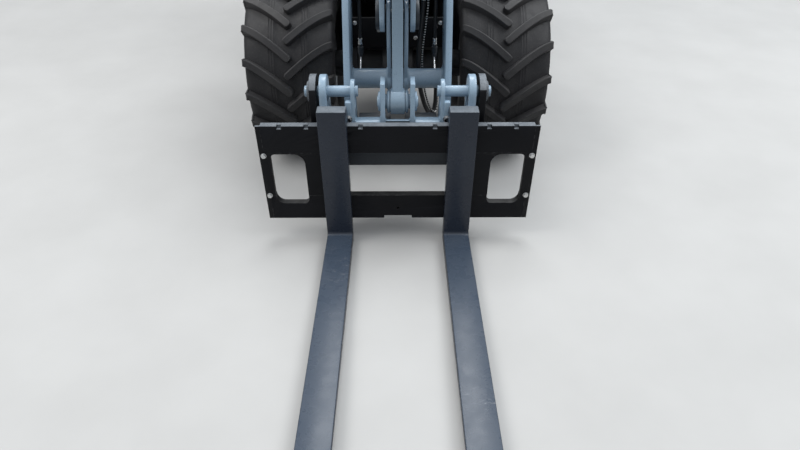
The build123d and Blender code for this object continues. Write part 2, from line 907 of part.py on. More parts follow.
with BuildPart() as tilt_barrel:
    barrel(tilt_base, tilt_eye, 0, tilt_barrel_length, 38, 30, 36, link_pin_radius, 38)
save(tilt_barrel, "tilt_barrel")
with BuildPart() as tilt_rod:
    cylinder_rod(
        tilt_base, tilt_eye, 0, tilt_barrel_length - 270, 19, 29.9, 34, 39
    )
save(tilt_rod, "tilt_rod")

for side, side_name in sides:
    x = side * lift_x
    with BuildPart() as lift_barrel:
        barrel(lift_base, lift_eye, x, lift_barrel_length, 38, 30, 36, lift_pin_radius, 38)
    save(lift_barrel, "lift_barrel_" + side_name)
    with BuildPart() as lift_rod:
        cylinder_rod(lift_base, lift_eye, x, 80, 20, 29.9, 34, 20)
    save(lift_rod, "lift_rod_" + side_name)


# Rear chassis: two plates, a front wall, a floor and the lugs of the steering joint
nose_y = body_front_y
with BuildPart() as rear_chassis:
    for side, side_name in sides:
        near = side * rear_inner
        plate(
            near,
            near + side * rear_plate,
            (
                (nose_y, rear_low - 20),
                (rear_axle_y - axle_clear - 70, rear_low - 20),
                (rear_axle_y - axle_clear, rear_saddle),
                (rear_axle_y + axle_clear, rear_saddle),
                (rear_axle_y + axle_clear + 70, rear_low),
                (rear_y - weight_thick, rear_low),
                (rear_y - weight_thick, rear_top),
                (nose_y, rear_top),
            ),
        )
    inner = rear_inner
    outer = rear_inner + rear_plate
    block(-outer, outer, nose_y, nose_y + rear_wall, rear_low - 20, rear_wall_top)
    block(-inner, inner, rear_y - weight_thick - 16, rear_y - weight_thick, rear_low, rear_top)
    for level in (yoke_low - yoke_plate - seat_gap, yoke_high + yoke_plate + seat_gap):
        with BuildSketch(Plane.XY.offset(level)):
            with Locations((0, (joint_y + nose_y) / 2)):
                Rectangle(2 * yoke_eye, nose_y - joint_y)
            with Locations((0, joint_y)):
                Circle(yoke_eye)
                Circle(yoke_pin_radius, mode=Mode.SUBTRACT)
        extrude(amount=yoke_plate)
save(rear_chassis, "rear_chassis")

with BuildPart() as joint_pins:
    for level in (yoke_low - yoke_plate - seat_gap, yoke_high):
        with BuildSketch(Plane.XY.offset(level - 12)):
            with Locations((0, joint_y)):
                Circle(yoke_pin_radius)
        extrude(amount=2 * yoke_plate + seat_gap + 24)
save(joint_pins, "joint_pins")

with BuildPart() as engine:
    block(-rear_inner, rear_inner, rear_axle_y + 130, rear_axle_y + 190, rear_saddle + 12, rear_saddle + 62)
    block(-150, 150, bulkhead_y + 40, rear_y - weight_thick - 60, rear_saddle + 12, rear_top + 60)
    block(-110, 110, bulkhead_y + 70, rear_y - weight_thick - 130, rear_top + 60, rear_top + 330)
    block(-80, 80, bulkhead_y + 90, rear_y - weight_thick - 150, rear_top + 330, rear_top + 385)
    block(-190, 190, rear_y - weight_thick - 70, rear_y - weight_thick - 20, rear_top + 20, rear_top + 330)
    rod(-185, -110, (bulkhead_y + 190, rear_top + 250), 62)
    rod(110, 180, (bulkhead_y + 160, rear_top + 170), 48)
    for pulley in ((bulkhead_y + 330, rear_top + 120), (bulkhead_y + 250, rear_top + 240)):
        rod(110, 130, pulley, 52)
save(engine, "engine")


# Platform: a chequered floor on the chassis with a step each side
with BuildPart() as platform:
    block(-floor_half, floor_half, floor_front_y, floor_back_y, floor_z, floor_z + floor_plate)
    block(-floor_half, floor_half, floor_front_y, floor_front_y + floor_rim, floor_z - floor_skirt, floor_z)
    block(-floor_half, floor_half, floor_back_y - floor_rim, floor_back_y, floor_z - floor_skirt, floor_z)
    for side, side_name in sides:
        block(
            side * (floor_half - floor_rim),
            side * floor_half,
            floor_front_y,
            floor_back_y,
            floor_z - floor_skirt,
            floor_z,
        )
        block(
            side * (rear_inner + rear_plate),
            side * (floor_half - floor_rim),
            floor_front_y + 80,
            floor_front_y + 80 + floor_rim,
            floor_z - floor_skirt,
            floor_z,
        )
    outer = rear_inner + rear_plate
    block(-outer, outer, floor_front_y, floor_back_y, floor_z - floor_skirt, floor_z, Mode.SUBTRACT)
    block(-outer, outer, nose_y, nose_y + rear_wall, floor_z, floor_z + floor_plate, Mode.SUBTRACT)
save(platform, "platform")

with BuildPart() as steps:
    for side, side_name in sides:
        block(
            side * (floor_half - 40),
            side * (floor_half + 70),
            step_front_y,
            step_front_y + step_length,
            step_z,
            step_z + 14,
        )
        for bar_y in (step_front_y, step_front_y + step_length - 12):
            block(
                side * (floor_half - 40),
                side * (floor_half - 12),
                bar_y,
                bar_y + 12,
                step_z + 14,
                floor_z - 60,
            )
save(steps, "steps")

# Seat: a box over the chassis, a shell and two soft cushions
with BuildPart() as seat_box:
    block(-seat_box_half, seat_box_half, seat_y, bulkhead_y, rear_top, seat_box_top)
save(seat_box, "seat_box")

with BuildPart() as seat_shell:
    with BuildSketch(Plane.YZ.offset(-seat_half)):
        with BuildLine():
            Polyline(
                (seat_y + 10, seat_box_top),
                (seat_y + seat_deep, seat_box_top),
                (seat_y + seat_deep + 82, seat_box_top + seat_tall),
                (seat_y + seat_deep + 68, seat_box_top + seat_tall),
                (seat_y + seat_deep - 12, seat_box_top + 20),
                (seat_y + 10, seat_box_top + 20),
                close=True,
            )
        make_face()
    extrude(amount=2 * seat_half)
save(seat_shell, "seat_shell")

with BuildPart() as seat_cushion:
    block(
        -seat_half,
        seat_half,
        seat_y,
        seat_y + seat_deep - 14,
        seat_box_top + 20 + seat_gap,
        seat_box_top + 20 + cushion,
    )
    fillet(seat_cushion.edges().group_by(Axis.Z)[-1], 28)
save(seat_cushion, "seat_cushion")

shell_lean = 80 / (seat_tall - 20)
with BuildPart() as seat_back:
    plate(
        -seat_half + 10,
        seat_half - 10,
        (
            (seat_y + seat_deep - 90, seat_box_top + 26 + cushion),
            (seat_y + seat_deep - 12 + shell_lean * (6 + cushion) - seat_gap, seat_box_top + 26 + cushion),
            (seat_y + seat_deep - 12 + shell_lean * (seat_tall - 20) - seat_gap, seat_box_top + seat_tall),
            (seat_y + seat_deep + 40, seat_box_top + seat_tall + 24),
            (seat_y + seat_deep - 20, seat_box_top + seat_tall + 24),
        ),
    )
save(seat_back, "seat_back")

# Console and steering column
console_y = nose_y + 20
column_foot = (console_y + 70, console_top)
column_head = moved(
    column_foot,
    (column_length * sin(radians(column_tilt)), column_length * cos(radians(column_tilt))),
)
with BuildPart() as console:
    plate(
        -console_half,
        console_half,
        (
            (console_y, floor_z + floor_plate),
            (console_y, console_top - 30),
            (console_y + 20, console_top),
            (console_y + 120, console_top - 50),
            (console_y + 100, floor_z + floor_plate),
        ),
    )
    spool(along(column_foot, column_head, -50), column_head, column_radius)
save(console, "console")

with BuildPart() as steering_wheel:
    face = Plane(
        origin=(0, *column_head),
        x_dir=(1, 0, 0),
        z_dir=(0, sin(radians(column_tilt)), cos(radians(column_tilt))),
    )
    with BuildSketch(face.offset(seat_gap)):
        Circle(38)
    extrude(amount=34)
    with BuildSketch(face.offset(10)):
        with PolarLocations(wheel_radius / 2, 3, start_angle=90):
            Rectangle(wheel_radius, 26)
    extrude(amount=8)
    with BuildSketch(Plane(origin=(0, *column_head), x_dir=(1, 0, 0), z_dir=face.y_dir)):
        with Locations((wheel_radius, -14)):
            Circle(13)
    revolve(axis=Axis((0, *column_head), tuple(face.z_dir)))
save(steering_wheel, "steering_wheel")

# Roof frame: four posts, two hoops and a flat roof
with BuildPart() as roof_frame:
    for side, side_name in sides:
        x0 = side * (post_x - post_half)
        x1 = side * (post_x + post_half)
        block(
            x0,
            x1,
            front_post_y - post_half,
            front_post_y + post_half,
            floor_z + floor_plate,
            roof_z,
        )
        block(
            x0,
            x1,
            back_post_y - post_half,
            back_post_y + post_half,
            fender_z + fender_plate,
            roof_z,
        )
        block(
            x0,
            x1,
            front_post_y + post_half,
            back_post_y - post_half,
            roof_z - 2 * post_half,
            roof_z,
        )
    for bar_y in (front_post_y, back_post_y):
        block(
            -post_x + post_half,
            post_x - post_half,
            bar_y - post_half,
            bar_y + post_half,
            roof_z - 2 * post_half,
            roof_z,
        )
save(roof_frame, "roof_frame")

with BuildPart() as roof:
    block(-roof_half, roof_half, roof_front_y, roof_back_y, roof_z, roof_z + roof_thick)
    fillet(roof.edges().filter_by(Axis.Z), 70)
save(roof, "roof")

with BuildPart() as work_lights:
    for near_y in (roof_front_y + 4, roof_back_y - 4 - lamp_deep):
        far_y = near_y + lamp_deep
        bracket_x = (lamp_x[0] + 32, lamp_x[1] - 32)
        for side, side_name in sides:
            block(side * lamp_x[0], side * lamp_x[1], near_y, far_y, roof_z - lamp_high, roof_z - 8)
            block(side * bracket_x[0], side * bracket_x[1], near_y + 12, far_y - 12, roof_z - 8, roof_z)
save(work_lights, "work_lights")

# Fenders over the rear tyres, with the body sides between them
for side, side_name in sides:
    with BuildPart() as fender:
        block(
            side * (seat_box_half + seat_gap),
            side * fender_outer,
            seat_y,
            rear_axle_y + 210,
            fender_z,
            fender_z + fender_plate,
        )
        block(
            side * (seat_box_half + seat_gap),
            side * fender_outer,
            seat_y,
            seat_y + fender_plate,
            floor_z + floor_plate,
            fender_z,
        )
    save(fender, "fender_" + side_name)

# Bulkhead behind the seat and fixed panels beside the engine
with BuildPart() as bulkhead:
    block(
        -seat_box_half,
        seat_box_half,
        bulkhead_y,
        bulkhead_y + hood_wall,
        rear_top,
        hood_top - 30,
    )
    for side, side_name in sides:
        for lug_x in (hinge_x - 25, hinge_x + 15):
            rod(side * lug_x, side * (lug_x + 25), hood_hinge, hinge_boss)
            block(
                side * lug_x,
                side * (lug_x + 25),
                bulkhead_y,
                hood_hinge[0],
                hood_hinge[1] - hinge_boss,
                hood_top - 30,
            )
        rod(side * (hinge_x - 25), side * (hinge_x + 40), hood_hinge, hinge_pin_radius)
save(bulkhead, "bulkhead")

with BuildPart() as engine_panels:
    outer = rear_inner + rear_plate
    for side, side_name in sides:
        block(
            side * (outer - 8),
            side * outer,
            bulkhead_y + hood_wall,
            rear_y - weight_thick,
            rear_top,
            weight_high,
        )
save(engine_panels, "engine_panels")

# Hood: a cover over the engine, open below and in front, that swings up about its front edge
with BuildPart() as hood:
    hood_outline = (
        (hood_front_y, hood_low),
        (hood_front_y, hood_top),
        (rear_y - 130, hood_top - 50),
        (rear_y - 50, hood_top - 150),
        (rear_y - 20, hood_low),
    )
    plate(-hood_half, hood_half, hood_outline)
    inner_outline = (
        (hood_front_y - 1, hood_low - 1),
        (hood_front_y - 1, hood_top - hood_wall),
        (rear_y - 130 - hood_wall, hood_top - 50 - hood_wall),
        (rear_y - 50 - hood_wall, hood_top - 150 - hood_wall),
        (rear_y - 20 - hood_wall, hood_low - 1),
    )
    plate(-hood_half + hood_wall, hood_half - hood_wall, inner_outline, Mode.SUBTRACT)
    for level in grille_levels:
        block(-grille_half, grille_half, rear_y - 70, rear_y, level, level + grille_slot, Mode.SUBTRACT)
    for level in louvre_levels:
        for near_y, far_y in louvre_y:
            block(
                -hood_half - 1,
                hood_half + 1,
                hood_front_y + near_y,
                hood_front_y + far_y,
                level,
                level + 10,
                Mode.SUBTRACT,
            )
    for side, side_name in sides:
        block(
            side * (hinge_x + 1),
            side * (hinge_x + 14),
            hood_hinge[0] - 10,
            hood_hinge[0] + 10,
            hood_hinge[1],
            hood_top - hood_wall,
        )
        rod(side * (hinge_x + 1), side * (hinge_x + 14), hood_hinge, hinge_boss)
        rod(
            side * hinge_x,
            side * (hinge_x + 15),
            hood_hinge,
            hinge_pin_radius + fit_gap,
            Mode.SUBTRACT,
        )
save(hood, "hood")

for side, side_name in sides:
    with BuildPart() as tank:
        block(
            side * tank_inner,
            side * tank_outer,
            seat_y + 60,
            bulkhead_y - 10,
            fender_z + fender_plate,
            tank_top,
        )
        fillet(tank.edges().group_by(Axis.Z)[-1], 25)
    save(tank, "tank_" + side_name)

with BuildPart() as counterweight:
    block(-weight_half, weight_half, rear_y - weight_thick, rear_y, weight_low, weight_high)
    fillet(counterweight.edges().filter_by(Axis.Z).group_by(Axis.Y)[-1], 40)
    block(-hitch_slot, hitch_slot, rear_y - 70, rear_y + 1, weight_low - 1, hitch_z + 40, Mode.SUBTRACT)
    for side, side_name in sides:
        block(
            side * (tail_lamp_x[0] - seat_gap),
            side * (tail_lamp_x[1] + seat_gap),
            rear_y - tail_lamp_deep,
            rear_y + 1,
            tail_lamp_z[0] - seat_gap,
            tail_lamp_z[1] + seat_gap,
            Mode.SUBTRACT,
        )
    with BuildSketch(Plane.XY.offset(hitch_z - hitch_plate / 2)):
        with Locations((0, rear_y - 52)):
            Rectangle(90, 44)
        with Locations((0, rear_y - 30)):
            Circle(28)
            Circle(hitch_radius, mode=Mode.SUBTRACT)
    extrude(amount=hitch_plate)
save(counterweight, "counterweight")

with BuildPart() as tail_lights:
    for side, side_name in sides:
        block(
            side * tail_lamp_x[0],
            side * tail_lamp_x[1],
            rear_y - tail_lamp_deep,
            rear_y - 2,
            tail_lamp_z[0],
            tail_lamp_z[1],
        )
save(tail_lights, "tail_lights")
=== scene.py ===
# %% [markdown]
# # A compact wheel loader with pallet forks
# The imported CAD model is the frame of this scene: it says where each plate, pin and wheel is, and what moves
# with what. Here each piece gets the look of the real one: painted steel with worn edges, barred rubber,
# zinc bolts, weld beads, hoses and stitched vinyl.

# %% Load the frame and measure it
import json
from math import cos, exp, pi, radians, sin

import bpy
from mathutils import Euler, Matrix, Vector


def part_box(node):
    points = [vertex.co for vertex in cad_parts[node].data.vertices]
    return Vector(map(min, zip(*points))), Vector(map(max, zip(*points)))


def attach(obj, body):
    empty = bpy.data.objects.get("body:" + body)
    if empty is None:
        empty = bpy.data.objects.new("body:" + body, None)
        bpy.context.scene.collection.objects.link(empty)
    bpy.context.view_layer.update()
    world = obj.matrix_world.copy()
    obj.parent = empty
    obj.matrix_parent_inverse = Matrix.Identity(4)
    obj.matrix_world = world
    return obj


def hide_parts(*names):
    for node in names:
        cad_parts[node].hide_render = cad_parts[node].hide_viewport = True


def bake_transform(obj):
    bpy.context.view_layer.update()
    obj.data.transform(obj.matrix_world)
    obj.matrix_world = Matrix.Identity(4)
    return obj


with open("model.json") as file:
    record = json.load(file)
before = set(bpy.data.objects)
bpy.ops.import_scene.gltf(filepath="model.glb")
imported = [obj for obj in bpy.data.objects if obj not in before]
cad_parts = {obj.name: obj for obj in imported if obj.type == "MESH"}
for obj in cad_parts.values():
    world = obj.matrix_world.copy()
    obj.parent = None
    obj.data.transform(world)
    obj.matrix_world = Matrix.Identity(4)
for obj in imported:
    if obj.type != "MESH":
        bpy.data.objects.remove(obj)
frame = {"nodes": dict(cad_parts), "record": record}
nodes = frame["nodes"]
body_of_node = {name: body for body, names in frame["record"]["behaviour"]["bodies"].items() for name in names}
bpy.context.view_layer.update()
SIDES = ((-1, "right"), (1, "left"))
FRONT, BACK, UP = (0, -1, 0), (0, 1, 0), (0, 0, 1)

# %% [markdown]
# ## Working by hand in code
# Blender's operators act on whatever is selected, so each step first deselects everything and takes one
# piece. These small helpers do that, apply a piece's modifiers, and put its place into its mesh.

# %% Small helpers for selecting, applying and placing
def mm(*points):
    """Points given in millimetres, in metres."""
    return tuple(tuple(part / 1000 for part in point) for point in points)


def linked(name, data):
    """New object made of its data, in the scene."""
    piece = bpy.data.objects.new(name, data)
    bpy.context.scene.collection.objects.link(piece)
    return piece


def discard(*pieces):
    """Remove pieces that were needed only to make others."""
    for piece in pieces:
        bpy.data.objects.remove(piece)


def take(piece):
    """Make one piece the only one that is selected."""
    bpy.ops.object.select_all(action="DESELECT")
    piece.select_set(True)
    bpy.context.view_layer.objects.active = piece
    return piece


def newest(name):
    """Name the piece that an operator has just added."""
    piece = bpy.context.active_object
    piece.name = name
    return piece


def apply_modifiers(piece):
    """Turn a piece's modifiers into mesh."""
    take(piece)
    for modifier in list(piece.modifiers):
        bpy.ops.object.modifier_apply(modifier=modifier.name)
    return piece


def settle(piece):
    """Put a piece's place, turn and size into its mesh."""
    take(piece)
    bpy.ops.object.transform_apply(location=True, rotation=True, scale=True)
    return piece


def edit(piece, kind="FACE", test=None):
    """Enter edit mode with the faces or edges selected that pass a test, or with everything."""
    take(piece)
    bpy.ops.object.mode_set(mode="EDIT")
    if not test:
        bpy.ops.mesh.select_all(action="SELECT")
        return
    bpy.ops.mesh.select_mode(type=kind)
    bpy.ops.mesh.select_all(action="DESELECT")
    leave_edit()
    points = piece.data.vertices
    if kind == "FACE":
        for face in piece.data.polygons:
            face.select = test(face.center, face.normal)
    else:
        for line in piece.data.edges:
            line.select = test(*(points[end].co for end in line.vertices))
    bpy.ops.object.mode_set(mode="EDIT")


def leave_edit():
    """Back to object mode."""
    bpy.ops.object.mode_set(mode="OBJECT")


def soften(piece, width, segments=2, limit=35, smooth=35):
    """Round a piece's sharp edges and shade its curves smooth."""
    take(piece)
    if width:
        bevel = piece.modifiers.new("edges", "BEVEL")
        bevel.width = width
        bevel.segments = segments
        bevel.limit_method = "ANGLE"
        bevel.angle_limit = radians(limit)
        bevel.use_clamp_overlap = False
        apply_modifiers(piece)
    bpy.ops.object.shade_smooth_by_angle(angle=radians(smooth))
    return piece


def copied(piece, name):
    """Copy of a piece with a mesh of its own."""
    return linked(name, piece.data.copy())


def joined(pieces, name):
    """Join several pieces into one."""
    bpy.ops.object.select_all(action="DESELECT")
    for piece in pieces:
        piece.select_set(True)
    bpy.context.view_layer.objects.active = pieces[0]
    if len(pieces) > 1:
        bpy.ops.object.join()
    return newest(name)


def coated(piece, material):
    """Give a piece one material all over."""
    piece.data.materials.clear()
    piece.data.materials.append(material)
    for face in piece.data.polygons:
        face.material_index = 0
    return piece


def aimed(piece, place, direction=(1, 0, 0), size=1.0):
    """Turn a piece that is made along X to a direction, size it, and move it to its place."""
    turn = Vector((1, 0, 0)).rotation_difference(Vector(direction)).to_matrix().to_4x4()
    piece.data.transform(Matrix.Translation(place) @ turn @ Matrix.Scale(size, 4))
    return piece


def finished(piece, home, *replaced, slot=None):
    """Hang a piece on a body, or on a CAD node's body, with the nodes it stands for; its slot is not used."""
    settle(piece)
    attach(piece, body_of_node.get(home, home))
    if replaced:
        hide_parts(*replaced)
    return piece


def built(name, parts, material, home, slot=None):
    """Several pieces joined into one, of one material, on a body."""
    return finished(coated(joined(parts, name), material), home, slot=slot)


def block_at(name, low, high, round_edges=0.0, segments=3):
    """Box between two corners with rounded edges, as the start of a housing or a pad."""
    low, high = Vector(low), Vector(high)
    bpy.ops.mesh.primitive_cube_add(size=1, location=(low + high) / 2)
    piece = newest(name)
    piece.scale = high - low
    settle(piece)
    if round_edges:
        soften(piece, round_edges, segments)
    return piece


def bar_across(name, sides, radius, length, place, along_y=False):
    """Round bar, or prism with few sides, along X or Y."""
    turn = (pi / 2, 0, 0) if along_y else (0, pi / 2, 0)
    bpy.ops.mesh.primitive_cylinder_add(vertices=sides, radius=radius, depth=length, location=place, rotation=turn)
    return settle(newest(name))


def carved(piece, cutter):
    """Cut one piece's form out of another."""
    take(piece)
    cut = piece.modifiers.new("cut", "BOOLEAN")
    cut.operation, cut.solver, cut.object = "DIFFERENCE", "EXACT", cutter
    apply_modifiers(piece)
    discard(cutter)
    return piece


# %% [markdown]
# ## The photographer's place
# The forks, the carriage and the tyres have known sizes, so the camera could be worked out from them: it is
# held 1.46 m up, 1.8 m in front of the carriage, and looks down by 37.7 degrees.

# %% Camera
LENS = 25.9
CAMERA_PLACE = (0.0, -2.674, 1.46)
LOOK_DOWN, LOOK_ASIDE = 37.7, -0.25
FARTHEST = 80
camera_data = bpy.data.cameras.new("camera")
camera_data.lens = LENS
camera_data.clip_end = FARTHEST
camera = linked("camera", camera_data)
camera.location = CAMERA_PLACE
camera.rotation_euler = Euler((radians(90 - LOOK_DOWN), 0, radians(LOOK_ASIDE)))
bpy.context.scene.camera = camera
bpy.context.scene.view_settings.view_transform = "Standard"
print("camera at", CAMERA_PLACE, "lens", LENS)

# %% [markdown]
# ## Light
# The photograph has the flat light of a cloudy day: bright straight above, dim at the horizon. That makes
# upward faces shine and leaves upright faces dark, so the world here is a vertical ramp. Three wide, weak
# lamps keep the shadows soft and give round tubes their long highlights.

# %% World and lamps
SKY = ((0.0, (0.26, 0.27, 0.285, 1)), (0.35, (0.43, 0.45, 0.48, 1)), (0.85, (1.0, 1.05, 1.10, 1)))
SKY_STRENGTH = 0.85
world = bpy.data.worlds.new("sky")
bpy.context.scene.world = world
world.use_nodes = True
sky_tree = world.node_tree
sky_tree.nodes.clear()
sky_out, sky, sky_height, sky_split, sky_ramp = (
    sky_tree.nodes.new(f"ShaderNode{kind}")
    for kind in ("OutputWorld", "Background", "TexCoord", "SeparateXYZ", "ValToRGB")
)
sky_tree.links.new(sky_height.outputs["Generated"], sky_split.inputs[0])
sky_tree.links.new(sky_split.outputs["Z"], sky_ramp.inputs[0])
sky_tree.links.new(sky_ramp.outputs[0], sky.inputs["Color"])
sky_tree.links.new(sky.outputs[0], sky_out.inputs["Surface"])
steps = sky_ramp.color_ramp.elements
steps[0].position, steps[1].position = SKY[0][0], SKY[-1][0]
steps.new(SKY[1][0])
for step, (_, colour) in zip(steps, SKY):
    step.color = colour
sky.inputs["Strength"].default_value = SKY_STRENGTH


def lamp(name, place, target, size, power, colour):
    """Wide soft lamp that looks at a target."""
    light = bpy.data.lights.new(name, "AREA")
    light.shape = "DISK"
    light.size = size
    light.energy = power
    light.color = colour
    holder = linked(name, light)
    holder.location = place
    holder.rotation_euler = (Vector(target) - Vector(place)).to_track_quat("-Z", "Y").to_euler()


lamp("lamp_left", (-5.0, -1.5, 7.0), (0, -0.6, 0.4), 4.5, 235, (1.0, 0.985, 0.96))
lamp("lamp_right", (5.0, -0.4, 7.0), (0, -0.4, 0.4), 5.0, 310, (0.95, 0.98, 1.0))
lamp("lamp_back", (0.5, 3.6, 9.0), (0, -0.4, 0.5), 5.0, 310, (0.97, 0.99, 1.0))
print("lamps", [light.name for light in bpy.data.lights])

# %% [markdown]
# ## Building materials from nodes
# A finish is a small network: noise at one or two scales for colour, the same kind of noise for gloss, and a
# fine pattern for relief. These helpers add one node each and connect it, so that each finish below stays
# short enough to read. All patterns use object coordinates, which stay with the piece when it moves.

# %% Shader helpers
def shader(name):
    """New node material: the material, its tree and its principled shader."""
    material = bpy.data.materials.new(name)
    material.use_nodes = True
    return material, material.node_tree, material.node_tree.nodes["Principled BSDF"]


def node(tree, kind, **values):
    """New shader node with some of its properties and inputs set."""
    made = tree.nodes.new(kind)
    for key, value in values.items():
        if key in made.inputs:
            made.inputs[key].default_value = value
        else:
            setattr(made, key, value)
    return made


def coordinates(tree, scale=(1, 1, 1), shift=(0, 0, 0)):
    """Object coordinates, stretched along some axes and moved."""
    source = node(tree, "ShaderNodeTexCoord")
    mapping = node(tree, "ShaderNodeMapping")
    mapping.inputs["Scale"].default_value = scale
    mapping.inputs["Location"].default_value = shift
    tree.links.new(source.outputs["Object"], mapping.inputs["Vector"])
    return mapping.outputs["Vector"]


def connect(tree, socket, value):
    """Feed a socket from another socket, a number or a plain colour."""
    if hasattr(value, "links"):
        tree.links.new(value, socket)
    else:
        socket.default_value = (*value, 1) if isinstance(value, tuple) else value


def grain(tree, where, scale, detail=4.0, rough=0.55):
    """Noise pattern of a given fineness."""
    made = node(tree, "ShaderNodeTexNoise", Scale=scale, Detail=detail, Roughness=rough)
    tree.links.new(where, made.inputs["Vector"])
    return made.outputs["Fac"]


def span(tree, source, low, high, to_low=0.0, to_high=1.0):
    """Stretch part of a value's range over another range."""
    made = node(tree, "ShaderNodeMapRange")
    for key, value in (("From Min", low), ("From Max", high), ("To Min", to_low), ("To Max", to_high)):
        made.inputs[key].default_value = value
    tree.links.new(source, made.inputs["Value"])
    return made.outputs["Result"]


def clouds(tree, where, scale, low=0.0, high=1.0, detail=4.0):
    """Noise that drifts softly between two values."""
    return span(tree, grain(tree, where, scale, detail), 0.3, 0.7, low, high)


def mixed(tree, factor, first, second):
    """Mix two colours, each a socket or a plain colour."""
    made = node(tree, "ShaderNodeMix", data_type="RGBA")
    for key, value in (("Factor", factor), (6, first), (7, second)):
        connect(tree, made.inputs[key], value)
    return made.outputs[2]


def product(tree, first, second, operation="MULTIPLY"):
    """Two values multiplied, or joined by another operation."""
    made = node(tree, "ShaderNodeMath", operation=operation)
    connect(tree, made.inputs[0], first)
    connect(tree, made.inputs[1], second)
    return made.outputs[0]


def relief(tree, principled, height, distance, strength=1.0):
    """Bump from a height pattern."""
    made = node(tree, "ShaderNodeBump", Strength=strength, Distance=distance)
    tree.links.new(height, made.inputs["Height"])
    tree.links.new(made.outputs["Normal"], principled.inputs["Normal"])


def clouded(name, colour, pale, scale, detail=4.0):
    """Start of a finish, with a colour that drifts between two tones."""
    material, tree, principled = shader(name)
    where = coordinates(tree)
    return material, tree, principled, where, mixed(tree, clouds(tree, where, scale, detail=detail), colour, pale)


def surfaced(tree, principled, **values):
    """Connect inputs of the principled shader, with _ for a space in their names."""
    for key, value in values.items():
        connect(tree, principled.inputs[key.replace("_", " ")], value)


# %% [markdown]
# ## Floor
# The floor is plain and pale to the camera and in reflections, and it keeps the loader's shadow. For the
# light that it throws back on the machine it is mid grey, as the yard under a real loader is. Otherwise the
# upright faces would be lit from below and lose their depth.

# %% Floor with a darker bounce
floor_material, floor_tree, floor_shader, _, floor_pale = clouded(
    "floor_concrete", (0.50, 0.495, 0.485), (0.54, 0.535, 0.525), 2.2
)
path = node(floor_tree, "ShaderNodeLightPath").outputs
floor_seen = product(floor_tree, path["Is Camera Ray"], path["Is Transmission Ray"], "MAXIMUM")
floor_seen = product(floor_tree, floor_seen, product(floor_tree, path["Is Glossy Ray"], 0.6), "MAXIMUM")
floor_colour = mixed(floor_tree, floor_seen, (0.20, 0.20, 0.195), floor_pale)
surfaced(floor_tree, floor_shader, Base_Color=floor_colour, Roughness=0.9, Specular_IOR_Level=0.15)
bpy.ops.mesh.primitive_plane_add(size=70, location=(0, 0, -0.0005))
floor = newest("floor")
floor.data.materials.append(floor_material)
print("floor", floor.name)

# %% [markdown]
# ## Paint
# Painted steel is never one colour. The paint is a little uneven, it has the fine ripple of sprayed paint,
# dust lies on what faces up, and bare metal shows where edges rub. Each paint is one call of one function
# with the numbers that differ.

# %% Painted steel
def edge_mask(tree, width):
    """Value that is 1 near a sharp edge: there a rounded normal differs from the face's own."""
    rounded = node(tree, "ShaderNodeBevel", samples=4, Radius=width)
    geometry = node(tree, "ShaderNodeNewGeometry")
    dot = node(tree, "ShaderNodeVectorMath", operation="DOT_PRODUCT")
    tree.links.new(rounded.outputs["Normal"], dot.inputs[0])
    tree.links.new(geometry.outputs["Normal"], dot.inputs[1])
    return span(tree, dot.outputs["Value"], 0.985, 0.86)


def upward(tree, low, high):
    """Value that is high on faces that look up."""
    geometry = node(tree, "ShaderNodeNewGeometry")
    split = node(tree, "ShaderNodeSeparateXYZ")
    tree.links.new(geometry.outputs["Normal"], split.inputs[0])
    return span(tree, split.outputs["Z"], low, high)


def dust_mask(tree, where):
    """Soft patches on faces that look up."""
    patches = span(tree, grain(tree, where, 9.0), 0.35, 0.75)
    return product(tree, upward(tree, 0.35, 1.0), patches)


def paint(name, colour, pale, gloss, wear=0.5, dust=0.3, specular=0.5, scuffs=(), sky_sheen=None):
    """Sprayed paint: uneven colour, ripple, dust, worn edges and, where given, scuffs and a painted sky sheen on faces
    that look up.
    """
    material, tree, principled, where, tone = clouded(name, colour, pale, 5.0)
    # Painted sheen: where a sky tint is given, faces that look up are mixed towards it, as a painted reflection of the
    # sky.
    if sky_sheen:
        tone = mixed(tree, product(tree, upward(tree, 0.6, 1.0), 0.9), tone, sky_sheen)
    speckle = product(tree, span(tree, grain(tree, where, 330.0, 2.0), 0.56, 0.70), 0.4)
    tone = mixed(tree, speckle, tone, tuple(0.45 * part for part in colour))
    dusty = product(tree, dust_mask(tree, where), dust)
    tone = mixed(tree, dusty, tone, (0.27, 0.265, 0.255))
    chips = span(tree, grain(tree, where, 70.0, 6.0), 0.5, 0.62)
    worn = product(tree, product(tree, edge_mask(tree, 0.003), chips), wear)
    if scuffs:
        streaks = span(tree, grain(tree, coordinates(tree, (34, 120, 60)), 1.0, 8.0, 0.75), 0.57, 0.66)
    for x, y, size in scuffs:
        ball = node(tree, "ShaderNodeVectorMath", operation="DISTANCE")
        ball.inputs[1].default_value = (x, y, SCUFF_HEIGHT)
        tree.links.new(where, ball.inputs[0])
        patch = product(tree, span(tree, ball.outputs["Value"], size, 0.3 * size), streaks)
        worn = product(tree, worn, product(tree, patch, 0.55), "MAXIMUM")
    tone = mixed(tree, worn, tone, (0.42, 0.42, 0.43))
    shine = clouds(tree, where, 24.0, gloss - 0.05, gloss + 0.07)
    shine = product(tree, shine, product(tree, dusty, 0.35), "ADD")
    metallic = product(tree, worn, 0.6)
    surfaced(tree, principled, Base_Color=tone, Metallic=metallic, Roughness=shine, Specular_IOR_Level=specular)
    relief(tree, principled, grain(tree, where, 420.0, 2.0), 0.0004, 0.35)
    return material


